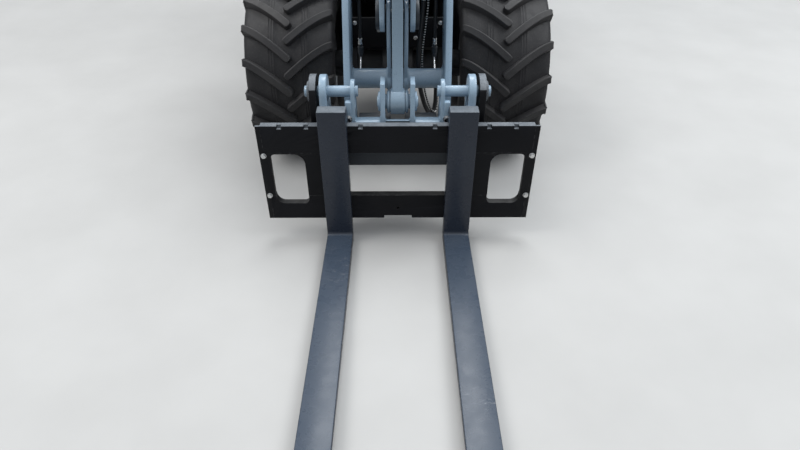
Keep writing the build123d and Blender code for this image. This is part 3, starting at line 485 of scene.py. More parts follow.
SCUFF_HEIGHT = 0.05
FORK_SCUFFS = (
    (-0.246, -0.993, 0.035), (-0.217, -1.085, 0.06), (-0.222, -1.150, 0.075), (-0.217, -1.322, 0.03),
    (-0.246, -1.540, 0.035), (0.195, -1.217, 0.03), (0.248, -1.676, 0.07),
)
blue_paint = paint("slate_blue_paint", (0.295, 0.408, 0.518), (0.325, 0.443, 0.557), 0.20, 0.35, 0.10, 0.65)
# The link's paint is the same slate blue, darker: painted shade on the link's upright face, which gets less sky light
# than the faces that look up.
link_paint_shaded = paint("slate_blue_link_shaded", (0.232, 0.323, 0.410), (0.256, 0.351, 0.442), 0.20, 0.35, 0.10, 0.65)
black_paint = paint("black_paint", (0.0055, 0.0058, 0.0075), (0.009, 0.0095, 0.012), 0.45, 0.25, 0.35, 0.18)
# Bluish tint for the fork paint on faces that look up: a painted reflection of the sky on the tops of the forks.
SKY_SHEEN_TINT = (0.052, 0.072, 0.104)
fork_paint = paint(
    "fork_paint", (0.020, 0.026, 0.040), (0.026, 0.034, 0.050), 0.27, 0.45, 0.05, 0.45, FORK_SCUFFS, SKY_SHEEN_TINT
)
dark_paint = paint("dark_grey_paint", (0.026, 0.032, 0.040), (0.036, 0.044, 0.054), 0.36, 0.3, 0.4, 0.4)
# The front chassis paint is black, made darker still as painted shade for the deep recess between the boom's plates.
chassis_paint_and_shade = paint("chassis_black_paint_and_shade", (0.0035, 0.0038, 0.005), (0.006, 0.0065, 0.008), 0.5, 0.2, 0.1, 0.12)
rim_paint = paint("rim_grey_paint", (0.30, 0.32, 0.34), (0.35, 0.37, 0.39), 0.34, 0.4, 0.3)


def cut_face(name, colour, pale, gloss):
    """Sawn or flame-cut face that dust and rubbing have made light and speckled."""
    material, tree, principled, where, tone = clouded(name, colour, pale, 22.0, 5.0)
    pits = span(tree, grain(tree, where, 210.0, 4.0, 0.7), 0.56, 0.66)
    tone = mixed(tree, product(tree, pits, 0.75), tone, (0.06, 0.065, 0.07))
    surfaced(tree, principled, Base_Color=tone, Metallic=0.25, Roughness=clouds(tree, where, 60.0, gloss, gloss + 0.15))
    relief(tree, principled, grain(tree, where, 260.0, 4.0), 0.0008, 0.6)
    return material


worn_top = cut_face("worn_top_face", (0.138, 0.156, 0.178), (0.228, 0.248, 0.272), 0.45)
sawn_top = cut_face("sawn_top_face", (0.108, 0.128, 0.150), (0.178, 0.200, 0.226), 0.45)
print("paints", blue_paint.name, black_paint.name, fork_paint.name, dark_paint.name)

# %% [markdown]
# ## Bare metal, castings, plastic and glass
# Plated bolts are bright and nearly smooth, pins show the lines of the lathe, and a cylinder's rod is a
# mirror. Castings and moulded plastic are rough, with a small grain that breaks the highlight.

# %% Metals, castings, plastic, vinyl and lenses
def metal(name, colour, pale, roughness, lines=0.0, rust=0.0):
    """Bare or plated metal with faint clouds, and turning lines or rust where asked."""
    material, tree, principled, where, tone = clouded(name, colour, pale, 40.0)
    if rust:
        spots = product(tree, span(tree, grain(tree, where, 55.0, 6.0), 0.55, 0.68), rust)
        tone = mixed(tree, spots, tone, (0.16, 0.075, 0.035))
    gloss = clouds(tree, where, 90.0, roughness - 0.05, roughness + 0.1)
    surfaced(tree, principled, Base_Color=tone, Metallic=1.0, Roughness=gloss)
    fine = coordinates(tree, (lines, 12, 12) if lines else (1, 1, 1))
    relief(tree, principled, grain(tree, fine, 1.0 if lines else 300.0), 0.0002, 0.3)
    return material


def moulded(name, colour, pale, roughness, fineness, depth, dust=0.3):
    """Moulded plastic, vinyl or rough casting: one colour with a fine grain and some dust."""
    material, tree, principled, where, tone = clouded(name, colour, pale, 7.0)
    tone = mixed(tree, product(tree, dust_mask(tree, where), dust), tone, (0.24, 0.235, 0.22))
    gloss = clouds(tree, where, 30.0, roughness - 0.05, roughness + 0.08)
    surfaced(tree, principled, Base_Color=tone, Roughness=gloss)
    cells = node(tree, "ShaderNodeTexVoronoi", Scale=fineness)
    tree.links.new(where, cells.inputs["Vector"])
    relief(tree, principled, cells.outputs["Distance"], depth, 0.6)
    return material


def lens(name, colour, roughness):
    """Clear or tinted lens with a fine pattern of ribs."""
    material, tree, principled = shader(name)
    ribs = node(tree, "ShaderNodeTexWave", Scale=70.0, Distortion=0.4)
    tree.links.new(coordinates(tree), ribs.inputs["Vector"])
    tone = mixed(tree, ribs.outputs["Fac"], colour, tuple(min(1.0, 1.35 * part) for part in colour))
    surfaced(tree, principled, Base_Color=tone, Roughness=roughness, Coat_Weight=0.6)
    relief(tree, principled, ribs.outputs["Fac"], 0.001, 0.5)
    return material


zinc = metal("zinc_plate", (0.62, 0.63, 0.64), (0.74, 0.74, 0.73), 0.26)
pin_steel = metal("pin_steel", (0.40, 0.41, 0.42), (0.52, 0.52, 0.52), 0.30, lines=900, rust=0.15)
chrome = metal("chrome_rod", (0.80, 0.81, 0.82), (0.86, 0.87, 0.88), 0.08)
cast_iron = moulded("cast_iron", (0.018, 0.019, 0.021), (0.03, 0.031, 0.034), 0.6, 420.0, 0.0012, 0.4)
plastic = moulded("black_plastic", (0.013, 0.013, 0.014), (0.02, 0.02, 0.021), 0.48, 900.0, 0.0003)
vinyl = moulded("seat_vinyl", (0.016, 0.016, 0.018), (0.024, 0.024, 0.026), 0.42, 620.0, 0.0006, 0.15)
hose_rubber = moulded("hose_rubber", (0.010, 0.010, 0.011), (0.016, 0.016, 0.017), 0.42, 1500.0, 0.0002, 0.1)
red_lens = lens("red_lens", (0.42, 0.012, 0.012), 0.12)
amber_lens = lens("amber_lens", (0.75, 0.22, 0.01), 0.12)
lamp_glass = lens("lamp_glass", (0.62, 0.64, 0.66), 0.08)
print("materials", len(bpy.data.materials))

# %% [markdown]
# ## Dressing the CAD solids
# Most plates and housings have the right shape already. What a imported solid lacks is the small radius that
# every cut and ground edge has, and that radius is what catches light. So each such node is copied, its
# loose triangles are merged into flat faces, and its edges are bevelled. Faces that look up and are worn or
# dusty, such as the top of a fork's shank, get a second material.

# %% Softened copies of the CAD nodes
MERGE, FLAT = 0.00002, radians(0.6)


def merged_copy(node_name):
    """Copy of a CAD node with its loose triangles merged into flat faces."""
    piece = linked(node_name + "_dressed", nodes[node_name].data.copy())
    edit(piece)
    bpy.ops.mesh.remove_doubles(threshold=MERGE)
    bpy.ops.mesh.dissolve_limited(angle_limit=FLAT)
    leave_edit()
    return piece


def top_worn(piece, above, top_material):
    """Second material on the faces that look up above a height."""
    piece.data.materials.append(top_material)
    for face in piece.data.polygons:
        if face.normal.z > 0.5 and face.center.z > above:
            face.material_index = 1


def softened(node_name, width, material, segments=2, worn_above=None, top_material=None, slot=None):
    """Copy of a CAD node with merged faces and rounded edges, which stands for the node."""
    piece = coated(merged_copy(node_name), material)
    soften(piece, width, segments)
    if worn_above is not None:
        top_worn(piece, worn_above, top_material or worn_top)
    return finished(piece, node_name, node_name, slot=slot)


DRESSED = (
    (dark_paint, 0.002, "rear_chassis"),
    (dark_paint, 0.0015, "platform steps"),
    (dark_paint, 0.001, "bulkhead engine_panels"),
    (dark_paint, 0.005, "counterweight"),
    (cast_iron, 0.004, "rear_axle engine front_axle"),
    (pin_steel, 0.002, "joint_pins boom_shaft tilt_base_pin lift_base_pins lift_eye_pins lever_bolts"),
    (blue_paint, 0.004, "seat_box"),
    (blue_paint, 0.003, "fender_right fender_left"),
    (blue_paint, 0.006, "tank_right tank_left"),
    (blue_paint, 0.0022, "boom"),
    (blue_paint, 0.002, "hook_pins tilt_lever"),
    (blue_paint, 0.0015, "hood"),
    (plastic, 0.004, "seat_shell"),
    (plastic, 0.006, "console"),
    (black_paint, 0.006, "roof_frame"),
    (black_paint, 0.002, "tilt_barrel lift_barrel_right lift_barrel_left"),
    (chassis_paint_and_shade, 0.002, "front_chassis"),
    (chrome, 0.0015, "tilt_rod lift_rod_right lift_rod_left"),
)
for material, width, names in DRESSED:
    for node_name in names.split():
        softened(node_name, width, material)
for node_name in ("coupler_pins", "lever_pins"):
    softened(node_name, 0.002, dark_paint, slot="bright_steel")
print("dressed groups", len(DRESSED))

# %% [markdown]
# ## Carriage and forks
# The carriage is one black face: two bars with a plate at each end, all flush in front. So its edges are
# hardly rounded, and the lower bar has a drilled hole. The forks are forged, with larger radii. Their sawn
# tops, the top of the carriage and the round hooks have lost their black and look light from above.

# %% Carriage, side plates and forks
CARRIAGE_TOP, PLATE_TOP, SHANK_TOP = 0.480, 0.484, 0.500
drill = bar_across("drill", 20, 0.0055, 0.12, (0, -0.840, 0.138), along_y=True)
carriage = carved(coated(merged_copy("carriage"), black_paint), drill)
soften(carriage, 0.0007, 1)
top_worn(carriage, CARRIAGE_TOP, worn_top)
finished(carriage, "carriage", "carriage")
for _, side_name in SIDES:
    softened(f"side_plate_{side_name}", 0.0007, black_paint, 1, PLATE_TOP)
    softened(f"fork_tine_{side_name}", 0.003, fork_paint, 3, SHANK_TOP, sawn_top)

# %% [markdown]
# ## Coupler
# The coupler hangs in the boom's nose and carries the forks. Its two short beams are round on top, so the
# long edges of those beams get a large radius before the rest is softened.

# %% Coupler with round beams
BEAM_TOP = 0.479
PAINTED_SHADE_BELOW = 0.452
BEAM_Y = (-0.795, -0.745)
BEAM_ROUND = 0.013
CLOSE = 0.0006


def on_beam(first, second):
    """True for a long upper edge of a beam."""
    along = abs(first.x - second.x) > 0.02 and abs(first.z - second.z) < 0.0005
    return along and abs(first.z - BEAM_TOP) < CLOSE and min(abs(first.y - y) for y in BEAM_Y) < CLOSE


coupler = coated(merged_copy("coupler"), blue_paint)
edit(coupler, "EDGE", on_beam)
bpy.ops.mesh.bevel(offset=BEAM_ROUND, segments=5, affect="EDGES")
leave_edit()
soften(coupler, 0.0018)
# Faces below the beams get the dark grey paint: painted shade for the recess behind the carriage's top bar.
coupler.data.materials.append(dark_paint)
for face in coupler.data.polygons:
    if face.center.z < PAINTED_SHADE_BELOW:
        face.material_index = 1
finished(coupler, "coupler", "coupler")
print("coupler faces", len(coupler.data.polygons))

# %% [markdown]
# ## Tyres
# A traction tyre is a smooth casing with bars of rubber that run from its middle to its shoulders. The casing is one
# profile turned round the axle. One bar is a grid, bent along a curve on the casing, and copied, 17 to a side, with the
# two sides half a step apart. The bars have their own rubber, a little lighter than the casing: partly the dust that
# stays on the bar tops, and partly painted light on the bars against the shade between them.

# %% Rubber
TYRE_RADIUS = 0.394
WHEEL_X = 0.456
AXLE_Y = {axle: sum(corner.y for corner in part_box(f"{axle}_rim_left")) / 2 for axle in ("front", "rear")}


def rubber(name, colour, pale, dust):
    """Tyre rubber: nearly black, with soft clouds, specks of dust and a fine grain."""
    material, tree, principled, where, tone = clouded(name, colour, pale, 12.0)
    speckle = product(tree, span(tree, grain(tree, where, 160.0, 8.0), 0.5, 0.7), 0.3)
    tone = mixed(tree, speckle, tone, (0.07, 0.066, 0.062))
    tone = mixed(tree, product(tree, dust_mask(tree, where), dust), tone, (0.13, 0.125, 0.12))
    gloss = clouds(tree, where, 34.0, 0.46, 0.62)
    surfaced(tree, principled, Base_Color=tone, Roughness=gloss, Specular_IOR_Level=0.35)
    relief(tree, principled, grain(tree, where, 500.0, 3.0), 0.0008, 0.5)
    return material


casing_rubber = rubber("casing_rubber", (0.021, 0.0205, 0.0225), (0.029, 0.028, 0.030), 0.15)
# The bars' rubber is lighter than the casing's: partly dust, partly painted light on the bars against the shade between
# them.
bar_rubber_dusty_and_lit = rubber("bar_rubber_dusty_and_lit", (0.037, 0.036, 0.038), (0.052, 0.050, 0.051), 0.3)

# %% [markdown]
# ### Turned pieces
# Blender's spin turns an open line of points round an axis. It is used for everything that a lathe or a
# round mould makes: the casing, the rims, caps, fittings and washers.

# %% Spin a profile round X
def turned(profile, name, steps=48, ring=False):
    """Skin of revolution about X from (x, radius) points; a ring joins its last point to its first."""
    pairs = [(i, i + 1) for i in range(len(profile) - 1)]
    if ring:
        pairs.append((len(profile) - 1, 0))
    mesh = bpy.data.meshes.new(name)
    mesh.from_pydata([(x, 0, r) for x, r in profile], pairs, [])
    piece = linked(name, mesh)
    edit(piece)
    bpy.ops.mesh.spin(steps=steps, angle=2 * pi, center=(0, 0, 0), axis=(1, 0, 0))
    bpy.ops.mesh.select_all(action="SELECT")
    bpy.ops.mesh.remove_doubles(threshold=0.00001)
    bpy.ops.mesh.normals_make_consistent(inside=False)
    leave_edit()
    bpy.ops.object.shade_smooth_by_angle(angle=radians(38))
    return piece


def fitting(name, profile, steps, material, home, place, direction=UP, ring=False):
    """Turned piece of one material at its place on a body."""
    return finished(aimed(coated(turned(profile, name, steps, ring), material), place, direction), home)


# %% Casing
CASING = mm(
    (0, 365.5), (30, 365.3), (56, 364.5), (58, 365.5), (60, 364.3), (67, 363.8), (69, 364.8), (71, 363.6),
    (78, 363.2), (80, 364.2), (82, 363), (110, 361.2), (140, 358.4), (162, 355), (177, 350), (184.2, 342),
    (187.4, 329), (188.4, 310), (188.2, 290), (186.8, 265), (185, 260), (185.5, 255), (181.5, 236), (173, 218),
    (165, 208), (159, 203), (154, 200), (150, 196), (148, 190.2), (138, 190.2),
)
CASING_EDGE = 0.177


def casing_radius(across):
    """Radius of the casing between the bars at a distance from the middle plane."""
    across = min(abs(across), CASING_EDGE)
    for (x0, r0), (x1, r1) in zip(CASING, CASING[1:]):
        if across <= x1:
            return r0 + (r1 - r0) * (across - x0) / (x1 - x0)
    return CASING[-1][1]


# %% One bar
BAR_COUNT = 17
BAR_SWEEP = radians(20)
BAR_CURVE = 1.28
BAR_HALF = 0.0145
BAR_FROM, BAR_TO = -0.010, 0.1835
BAR_WIDEST = 0.1898
BAR_TOP, BAR_FALL, BAR_FALL_POWER = 0.3936, 0.0088, 2.2
BAR_NEARBY = 0.02
BAR_FOOT_DEPTH, BAR_FOOT_EDGE = 0.003, 0.1785
BAR_TIPS = {1: 12.6, -1: 23.2}
BAR_ROWS = (0.0, 0.0, 0.012, 0.03, 0.06, 0.13, 0.22, 0.32, 0.42, 0.52, 0.62, 0.72, 0.82, 0.91, 0.97, 1.0)
TIP_WIDTHS = (0.45, 0.45, 0.83, 0.97, 1.0)
SHOULDER = mm(
    (187.6, 377, 178), (189.2, 364, 180), (189.5, 345, 182), (189.3, 325, 186), (186.8, 306, 186.8)
)
BAR_LANES = ((-1.3, 0.0), (-1.0, -0.0012), (0.50, -0.0012), (0.66, 0.0), (1.0, 0.0), (1.3, 0.0))


def bar_place(share):
    """Distance across and turn round the axle at a share of a bar's length."""
    share = min(max(share, 0.0), 1.0)
    return BAR_FROM + (BAR_TO - BAR_FROM) * share, BAR_SWEEP * (1 - (1 - share) ** BAR_CURVE)


def bar_top(across):
    """Radius of a bar's top, which falls towards the shoulder."""
    return BAR_TOP - BAR_FALL * (abs(across) / BAR_TO) ** BAR_FALL_POWER


def bar_point(row, lane):
    """Place of one point of a bar, from its row along the bar and its lane across it."""
    offset, drop = BAR_LANES[lane]
    foot = lane in (0, len(BAR_LANES) - 1)
    if row < len(BAR_ROWS):
        share = BAR_ROWS[row]
        across, turn = bar_place(share)
        ahead, behind = bar_place(share + BAR_NEARBY), bar_place(share - BAR_NEARBY)
        run = Vector((ahead[0] - behind[0], (ahead[1] - behind[1]) * TYRE_RADIUS)).normalized()
        shift = offset * BAR_HALF * (TIP_WIDTHS[row] if row < len(TIP_WIDTHS) else 1.0)
        across = min(across - run.y * shift, BAR_TO)
        turn += run.x * shift / TYRE_RADIUS
        radius = casing_radius(across) - BAR_FOOT_DEPTH if foot or row == 0 else bar_top(across) + drop
        if foot:
            across = min(across, BAR_FOOT_EDGE)
    else:
        across, radius, foot_across = SHOULDER[row - len(BAR_ROWS)]
        turn = bar_place(1.0)[1] + offset * BAR_HALF / TYRE_RADIUS
        across = foot_across if foot else across
    return Vector((across, -radius * cos(turn), radius * sin(turn)))


def make_bar():
    """One bar of the half at positive X, with its tip level with the axle in front."""
    rows, lanes = len(BAR_ROWS) + len(SHOULDER), len(BAR_LANES)
    bpy.ops.mesh.primitive_grid_add(x_subdivisions=rows - 1, y_subdivisions=lanes - 1, size=1)
    bar = newest("bar")
    across = sorted({round(v.co.x, 4) for v in bar.data.vertices})
    along = sorted({round(v.co.y, 4) for v in bar.data.vertices})
    for vertex in bar.data.vertices:
        vertex.co = bar_point(across.index(round(vertex.co.x, 4)), along.index(round(vertex.co.y, 4)))
    edit(bar)
    bpy.ops.mesh.normals_make_consistent(inside=False)
    leave_edit()
    if sum(face.normal.dot(Vector((0, face.center.y, face.center.z))) for face in bar.data.polygons) < 0:
        bar.data.flip_normals()
    soften(bar, 0.0028, 2, 50, 42)
    for vertex in bar.data.vertices:
        vertex.co.x = min(vertex.co.x, BAR_WIDEST)
    return coated(bar, bar_rubber_dusty_and_lit)


# %% Whole tyre, copied to the four wheels
bar = make_bar()
mirrored_bar = copied(bar, "bar_mirrored")
mirrored_bar.data.transform(Matrix.Scale(-1, 4, (1, 0, 0)))
mirrored_bar.data.flip_normals()
casing = coated(turned((*((-x, r) for x, r in reversed(CASING[1:])), *CASING), "casing", 102), casing_rubber)
tyre_parts = [casing]
for half, source in ((1, bar), (-1, mirrored_bar)):
    for count in range(BAR_COUNT):
        turned_bar = copied(source, "bar_copy")
        angle = radians(BAR_TIPS[half] + count * 360 / BAR_COUNT)
        turned_bar.data.transform(Matrix.Rotation(-angle, 4, "X"))
        tyre_parts.append(turned_bar)
    discard(source)
tyre_master = joined(tyre_parts, "tyre_master")
print("tyre faces", len(tyre_master.data.polygons), "half width", round(tyre_master.dimensions.x / 2, 4))

for axle, axle_y in AXLE_Y.items():
    for side, side_name in SIDES:
        tyre = copied(tyre_master, f"{axle}_tyre_{side_name}_rubber")
        aimed(tyre, (side * WHEEL_X, axle_y, TYRE_RADIUS))
        finished(tyre, f"{axle}_wheel_{side_name}", f"{axle}_tyre_{side_name}", slot="tyre")
discard(tyre_master)

# %% [markdown]
# ## Fasteners
# A hex bolt is a six-sided cylinder whose top face is inset and raised, which gives the chamfer of a real
# head, over a thin washer. A grease nipple is a small turned piece. Both are made once along X and then
# copied to their places.

# %% Bolt and grease nipple
BOLT_WASHER = mm((0, 0), (0, 10.5), (0.4, 11), (1.4, 11), (1.7, 10.6), (1.7, 0))
NIPPLE = mm((0, 0), (0, 4.2), (3, 4.2), (4, 2.6), (6.8, 2.6), (8.5, 3.6), (10.5, 3), (11.5, 0))


def make_bolt():
    """Head of an M10 bolt on its washer, standing along X."""
    head = bar_across("bolt_head", 6, 0.0096, 0.0068, (0.005, 0, 0))
    edit(head, test=lambda middle, normal: normal.x > 0.9)
    bpy.ops.mesh.inset(thickness=0.0012)
    bpy.ops.transform.translate(value=(0.0008, 0, 0))
    leave_edit()
    return coated(joined([head, turned(BOLT_WASHER, "washer", 20)], "bolt_master"), zinc)


bolt_master = make_bolt()
nipple_master = coated(turned(NIPPLE, "nipple_master", 12), zinc)


def stamped(master, name, home, place, direction=(1, 0, 0), size=1.0):
    """One copy of a master on a body."""
    return finished(aimed(copied(master, name), place, direction, size), home)


def fastened(name, home, places, size=1.0):
    """Bolts at (place, direction) pairs, joined into one piece on a body."""
    return finished(joined([aimed(copied(bolt_master, name), *place, size) for place in places], name), home)


# %% [markdown]
# ## Wheels
# The rim is a welded steel one: a barrel whose lips hold the tyre's beads, a dished disc with round hand
# holes, a ring of nuts and a cap over the hub. The disc is a turned shell. Its hand holes are cut by
# cylinders, and the valve stands near the lip.

# %% Rims with hand holes, nuts, hub cap and valve
RIM_BARREL = mm(
    (-150, 189.5), (-150, 194), (-148, 195), (-145.5, 189.5), (-140, 188), (140, 188), (145.5, 189.5), (148, 195),
    (150, 194), (150, 185), (144, 180), (120, 176), (90, 172), (-90, 172), (-120, 176), (-144, 180), (-150, 185),
)
RIM_DISC = mm(
    (38, 173.5), (56, 173.5), (64, 166), (66, 156), (60, 128), (56, 112), (56, 60), (62, 57.5), (80, 56), (85, 52),
    (86.8, 46), (87, 0),
)
RIM_BACK = mm((38, 173.5), (43, 150), (43, 85), (40, 81.5), (-33, 81.5), (-37, 78), (-37, 37))
HUB_CAP = mm((0, 30), (1.5, 33), (4, 33), (6, 30), (7, 0))
VALVE = mm((0, 0), (0, 5.5), (12, 5), (14, 3.6), (30, 3.6), (31, 4.4), (38, 4), (39, 0))
AROUND = 8
HOLE_CIRCLE, NUT_CIRCLE = 0.142, 0.086
NUT_X, CAP_X = 0.0558, 0.087
VALVE_X, VALVE_Z, VALVE_LEAN = 0.0615, 0.157, 0.18


def on_circle(x, radius, count, start=0.0):
    """Place of one of the eight holes or nuts of a wheel."""
    angle = 2 * pi * (count + start) / AROUND
    return Vector((x, radius * cos(angle), radius * sin(angle)))


def make_rim():
    """Rim about the origin with its face towards positive X."""
    barrel = turned(RIM_BARREL, "rim_barrel", 64, ring=True)
    disc = turned(RIM_BACK[::-1] + RIM_DISC[1:], "rim_disc", 64)
    holes = [
        bar_across("hand_hole", 24, 0.0135, 0.1, on_circle(0.05, HOLE_CIRCLE, count, 0.5)) for count in range(AROUND)
    ]
    soften(carved(disc, joined(holes, "hand_holes")), 0, smooth=38)
    return coated(joined([barrel, disc], "rim_master"), rim_paint)


rim_master = make_rim()
cap_master = coated(turned(HUB_CAP, "cap_master", 32), plastic)
valve_master = coated(turned(VALVE, "valve_master", 14), plastic)
for axle, axle_y in AXLE_Y.items():
    for side, side_name in SIDES:
        wheel = f"{axle}_wheel_{side_name}"
        middle_place = Vector((side * WHEEL_X, axle_y, TYRE_RADIUS))
        rim = copied(rim_master, f"{axle}_rim_{side_name}_pressed")
        if side < 0:
            rim.data.transform(Matrix.Rotation(pi, 4, "Z"))
        finished(aimed(rim, middle_place), wheel, f"{axle}_rim_{side_name}")
        outward = (side, 0, 0)
        nuts = [(middle_place + on_circle(side * NUT_X, NUT_CIRCLE, count), outward) for count in range(AROUND)]
        fastened(f"{wheel}_nuts", wheel, nuts, 1.35)
        stamped(cap_master, f"{wheel}_cap", wheel, middle_place + Vector((side * CAP_X, 0, 0)), outward)
        leaning = Vector((side, 0, VALVE_LEAN)).normalized()
        stamped(valve_master, f"{wheel}_valve", wheel, middle_place + Vector((side * VALVE_X, 0, VALVE_Z)), leaning)
discard(rim_master, cap_master, valve_master)
print("wheels", [(axle, round(y, 3)) for axle, y in AXLE_Y.items()])

# %% [markdown]
# ## Bolts on the carriage, the coupler and the frame
# The side plates are bolted at their outer edge. A keeper plate on each inner coupler plate holds the hook
# pin with one bolt, and small bolts show on the black sill deep between the boom's plates.

# %% Zinc bolts and keeper plates
FACE_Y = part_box("carriage")[0].y
SILL_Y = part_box("front_chassis")[0].y
SILL_BOLTS = (
    (-0.085, 0.628), (0.085, 0.628), (-0.187, 0.618), (0.189, 0.618), (-0.083, 0.587), (0.081, 0.552), (0.168, 0.600),
)
NOTCHES = (0.132, 0.228, 0.325, 0.421)
NOTCH_HALF = 0.0082
PLATE_BOLT_X, KEEPER_X, KEEPER_HALF, KEEPER_BOLT_X = 0.490, 0.1775, 0.0105, 0.1785
notch_backs = []
for side, side_name in SIDES:
    plate_bolts = [((side * PLATE_BOLT_X, FACE_Y - 0.0002, height), FRONT) for height in (0.375, 0.200)]
    fastened(f"side_plate_bolts_{side_name}", "carriage", plate_bolts, 0.95)
    x = side * KEEPER_X
    low, high = (x - KEEPER_HALF, -0.788, 0.477), (x + KEEPER_HALF, -0.764, 0.553)
    finished(coated(block_at(f"keeper_plate_{side_name}", low, high, 0.004), blue_paint), "coupler")
    for place in NOTCHES:
        x = side * place
        low, high = (x - NOTCH_HALF, FACE_Y + 0.0137, 0.4829), (x + NOTCH_HALF, FACE_Y + 0.0277, 0.4949)
        notch_backs.append(block_at("notch_back", low, high, 0.0006, 1))
fastened("sill_bolts", "front_chassis", [((x, SILL_Y - 0.0002, height), FRONT) for x, height in SILL_BOLTS], 0.85)
fastened("keeper_bolts", "coupler", [((side * KEEPER_BOLT_X, -0.7882, 0.488), FRONT) for side in (-1, 1)], 1.3)
built("notch_backs", notch_backs, worn_top, "carriage")
print("bolts on face at", round(FACE_Y, 3), "and sill at", round(SILL_Y, 3))

# %% [markdown]
# ## Link, link pin and washers
# The link is a flat bar with an eye that stands between the coupler's ears. The eye is a little wider than
# the bar, with a thin ring beside it on each collar. The pin has a thin flange outside each ear and a small
# end. All of these are turned.

# %% Link and its pin
LINK_FOOT = (-0.744, 0.537)
HOOK_PIN = (-0.734, 0.572)
HOOK_WASHER_X = 0.3135
EYE_BAND = mm((-25.5, 30), (-25.5, 44.8), (-24, 46.4), (24, 46.4), (25.5, 44.8), (25.5, 30))
EYE_RING = mm((29.5, 30), (29.5, 41.2), (30.3, 42), (34.2, 42), (35, 41.2), (35, 30))
HALF_PIN = mm(
    (0, 26), (62, 26), (62.4, 34), (63.6, 35.2), (68.6, 35.2), (70, 33.8), (70.2, 20.5), (72.8, 20), (74.2, 18.5),
    (74.5, 0),
)
WASHER = mm(
    (0, 20.5), (0, 40), (0.8, 41), (4, 41), (4.6, 40), (4.6, 34.5), (5.2, 35.5), (9.6, 35.5), (10.6, 34), (10.6, 20.5)
)
softened("tilt_link", 0.0028, link_paint_shaded, 3)
eye_rings = [turned(EYE_BAND, "eye_band", 56, ring=True)]
for side in (-1, 1):
    eye_rings.append(aimed(turned(EYE_RING, "eye_ring", 56, ring=True), (0, 0, 0), (side, 0, 0)))
eye_band = coated(joined(eye_rings, "link_eye_band"), link_paint_shaded)
finished(aimed(eye_band, (0, *LINK_FOOT)), "tilt_link")
pin_profile = (*((-x, r) for x, r in reversed(HALF_PIN[1:])), *HALF_PIN)
link_pin = coated(turned(pin_profile, "link_pin_turned", 48), blue_paint)
finished(aimed(link_pin, (0, *LINK_FOOT)), "link_pin", "link_pin", slot="bright_steel")
for side, side_name in SIDES:
    place, outward = (side * HOOK_WASHER_X, *HOOK_PIN), (side, 0, 0)
    fitting(f"hook_washer_{side_name}", WASHER, 40, worn_top, "hook_pins", place, outward, ring=True)
print("link pin width", round(link_pin.dimensions.x, 4))

# %% [markdown]
# ## Weld beads
# The tubes are welded into the plates all round. A weld bead is a thin round cord with a ripple every few
# millimetres. Here it is a curve whose radius swells and shrinks from point to point, made into a mesh.

# %% Weld beads on tubes and hooks
BEAD_STEP = 0.0028
BEAD = 0.0036
THIN_BEAD = 0.0030
RIPPLE = 0.76


def tube(name, points, thickness, sides=4, fineness=8, radii=None):
    """Round tube along a smooth curve guided by points, or straight between them with a radius at each."""
    curve = bpy.data.curves.new(name, "CURVE")
    curve.dimensions = "3D"
    curve.bevel_depth = thickness
    curve.bevel_resolution = sides
    curve.resolution_u = fineness
    curve.use_fill_caps = True
    spline = curve.splines.new("POLY" if radii else "NURBS")
    spline.points.add(len(points) - 1)
    for point, place, radius in zip(spline.points, points, radii or [1.0] * len(points)):
        point.co = (*place, 1)
        point.radius = radius
    if not radii:
        spline.use_endpoint_u = True
        spline.order_u = 3
    take(linked(name, curve))
    bpy.ops.object.convert(target="MESH")
    bpy.ops.object.shade_smooth()
    return newest(name)


def bead(points, thickness):
    """Rippled weld bead through points."""
    ripple = [1.0 if count % 2 else RIPPLE for count in range(len(points))]
    return tube("bead", points, thickness, 1, radii=ripple)


def ring_bead(x, centre, radius):
    """Weld bead round a tube that stands across the machine."""
    steps = int(2 * pi * radius / BEAD_STEP)
    turns = [2 * pi * count / steps for count in range(steps + 1)]
    return bead([(x, centre[0] + radius * cos(turn), centre[1] + radius * sin(turn)) for turn in turns], BEAD)


def line_bead(start, end, thickness=BEAD):
    """Weld bead along a straight corner."""
    start, end = Vector(start), Vector(end)
    steps = int((end - start).length / BEAD_STEP)
    return bead([start.lerp(end, count / steps) for count in range(steps + 1)], thickness)


CROSS_TUBE, BACK_TUBE, MID_TUBE, TOWER_TUBE = (-0.524, 0.530), (-0.425, 0.866), (-0.095, 1.028), (0.485, 1.320)
TUBE_BEAD, TOWER_BEAD = 0.0392, 0.0452
TUBES = ((CROSS_TUBE, TUBE_BEAD), (BACK_TUBE, TUBE_BEAD), (MID_TUBE, TUBE_BEAD), (TOWER_TUBE, TOWER_BEAD))
OUTER_BEAD_X, INNER_BEAD_X = 0.1735, 0.0405
HOOK_WELD_Y = FACE_Y + 0.0285
HOOK_WELD_X, HOOK_WELD_Z = (0.2880, 0.3140), ((0.130, 0.198), (0.388, 0.462))
EAR_WELDS = (
    (0.0628, -0.790, -0.748, 0.4795), (0.1532, -0.790, -0.748, 0.4795), (0.0440, -0.7950, -0.7800, 0.4860),
)
boom_beads, hook_beads, ear_beads = [], [], []
for side in (-1, 1):
    for centre, radius in TUBES:
        boom_beads.append(ring_bead(side * OUTER_BEAD_X, centre, radius))
    for centre in (CROSS_TUBE, BACK_TUBE):
        boom_beads.append(ring_bead(side * INNER_BEAD_X, centre, TUBE_BEAD))
    for x in HOOK_WELD_X:
        for low, high in HOOK_WELD_Z:
            hook_beads.append(line_bead((side * x, HOOK_WELD_Y, low), (side * x, HOOK_WELD_Y, high)))
    for x, near, far, height in EAR_WELDS:
        ear_beads.append(line_bead((side * x, near, height), (side * x, far, height), THIN_BEAD))
boom_weld = built("boom_welds", boom_beads, blue_paint, "boom")
built("carriage_welds", hook_beads, black_paint, "carriage")
built("coupler_welds", ear_beads, blue_paint, "coupler")
print("weld faces", len(boom_weld.data.polygons))

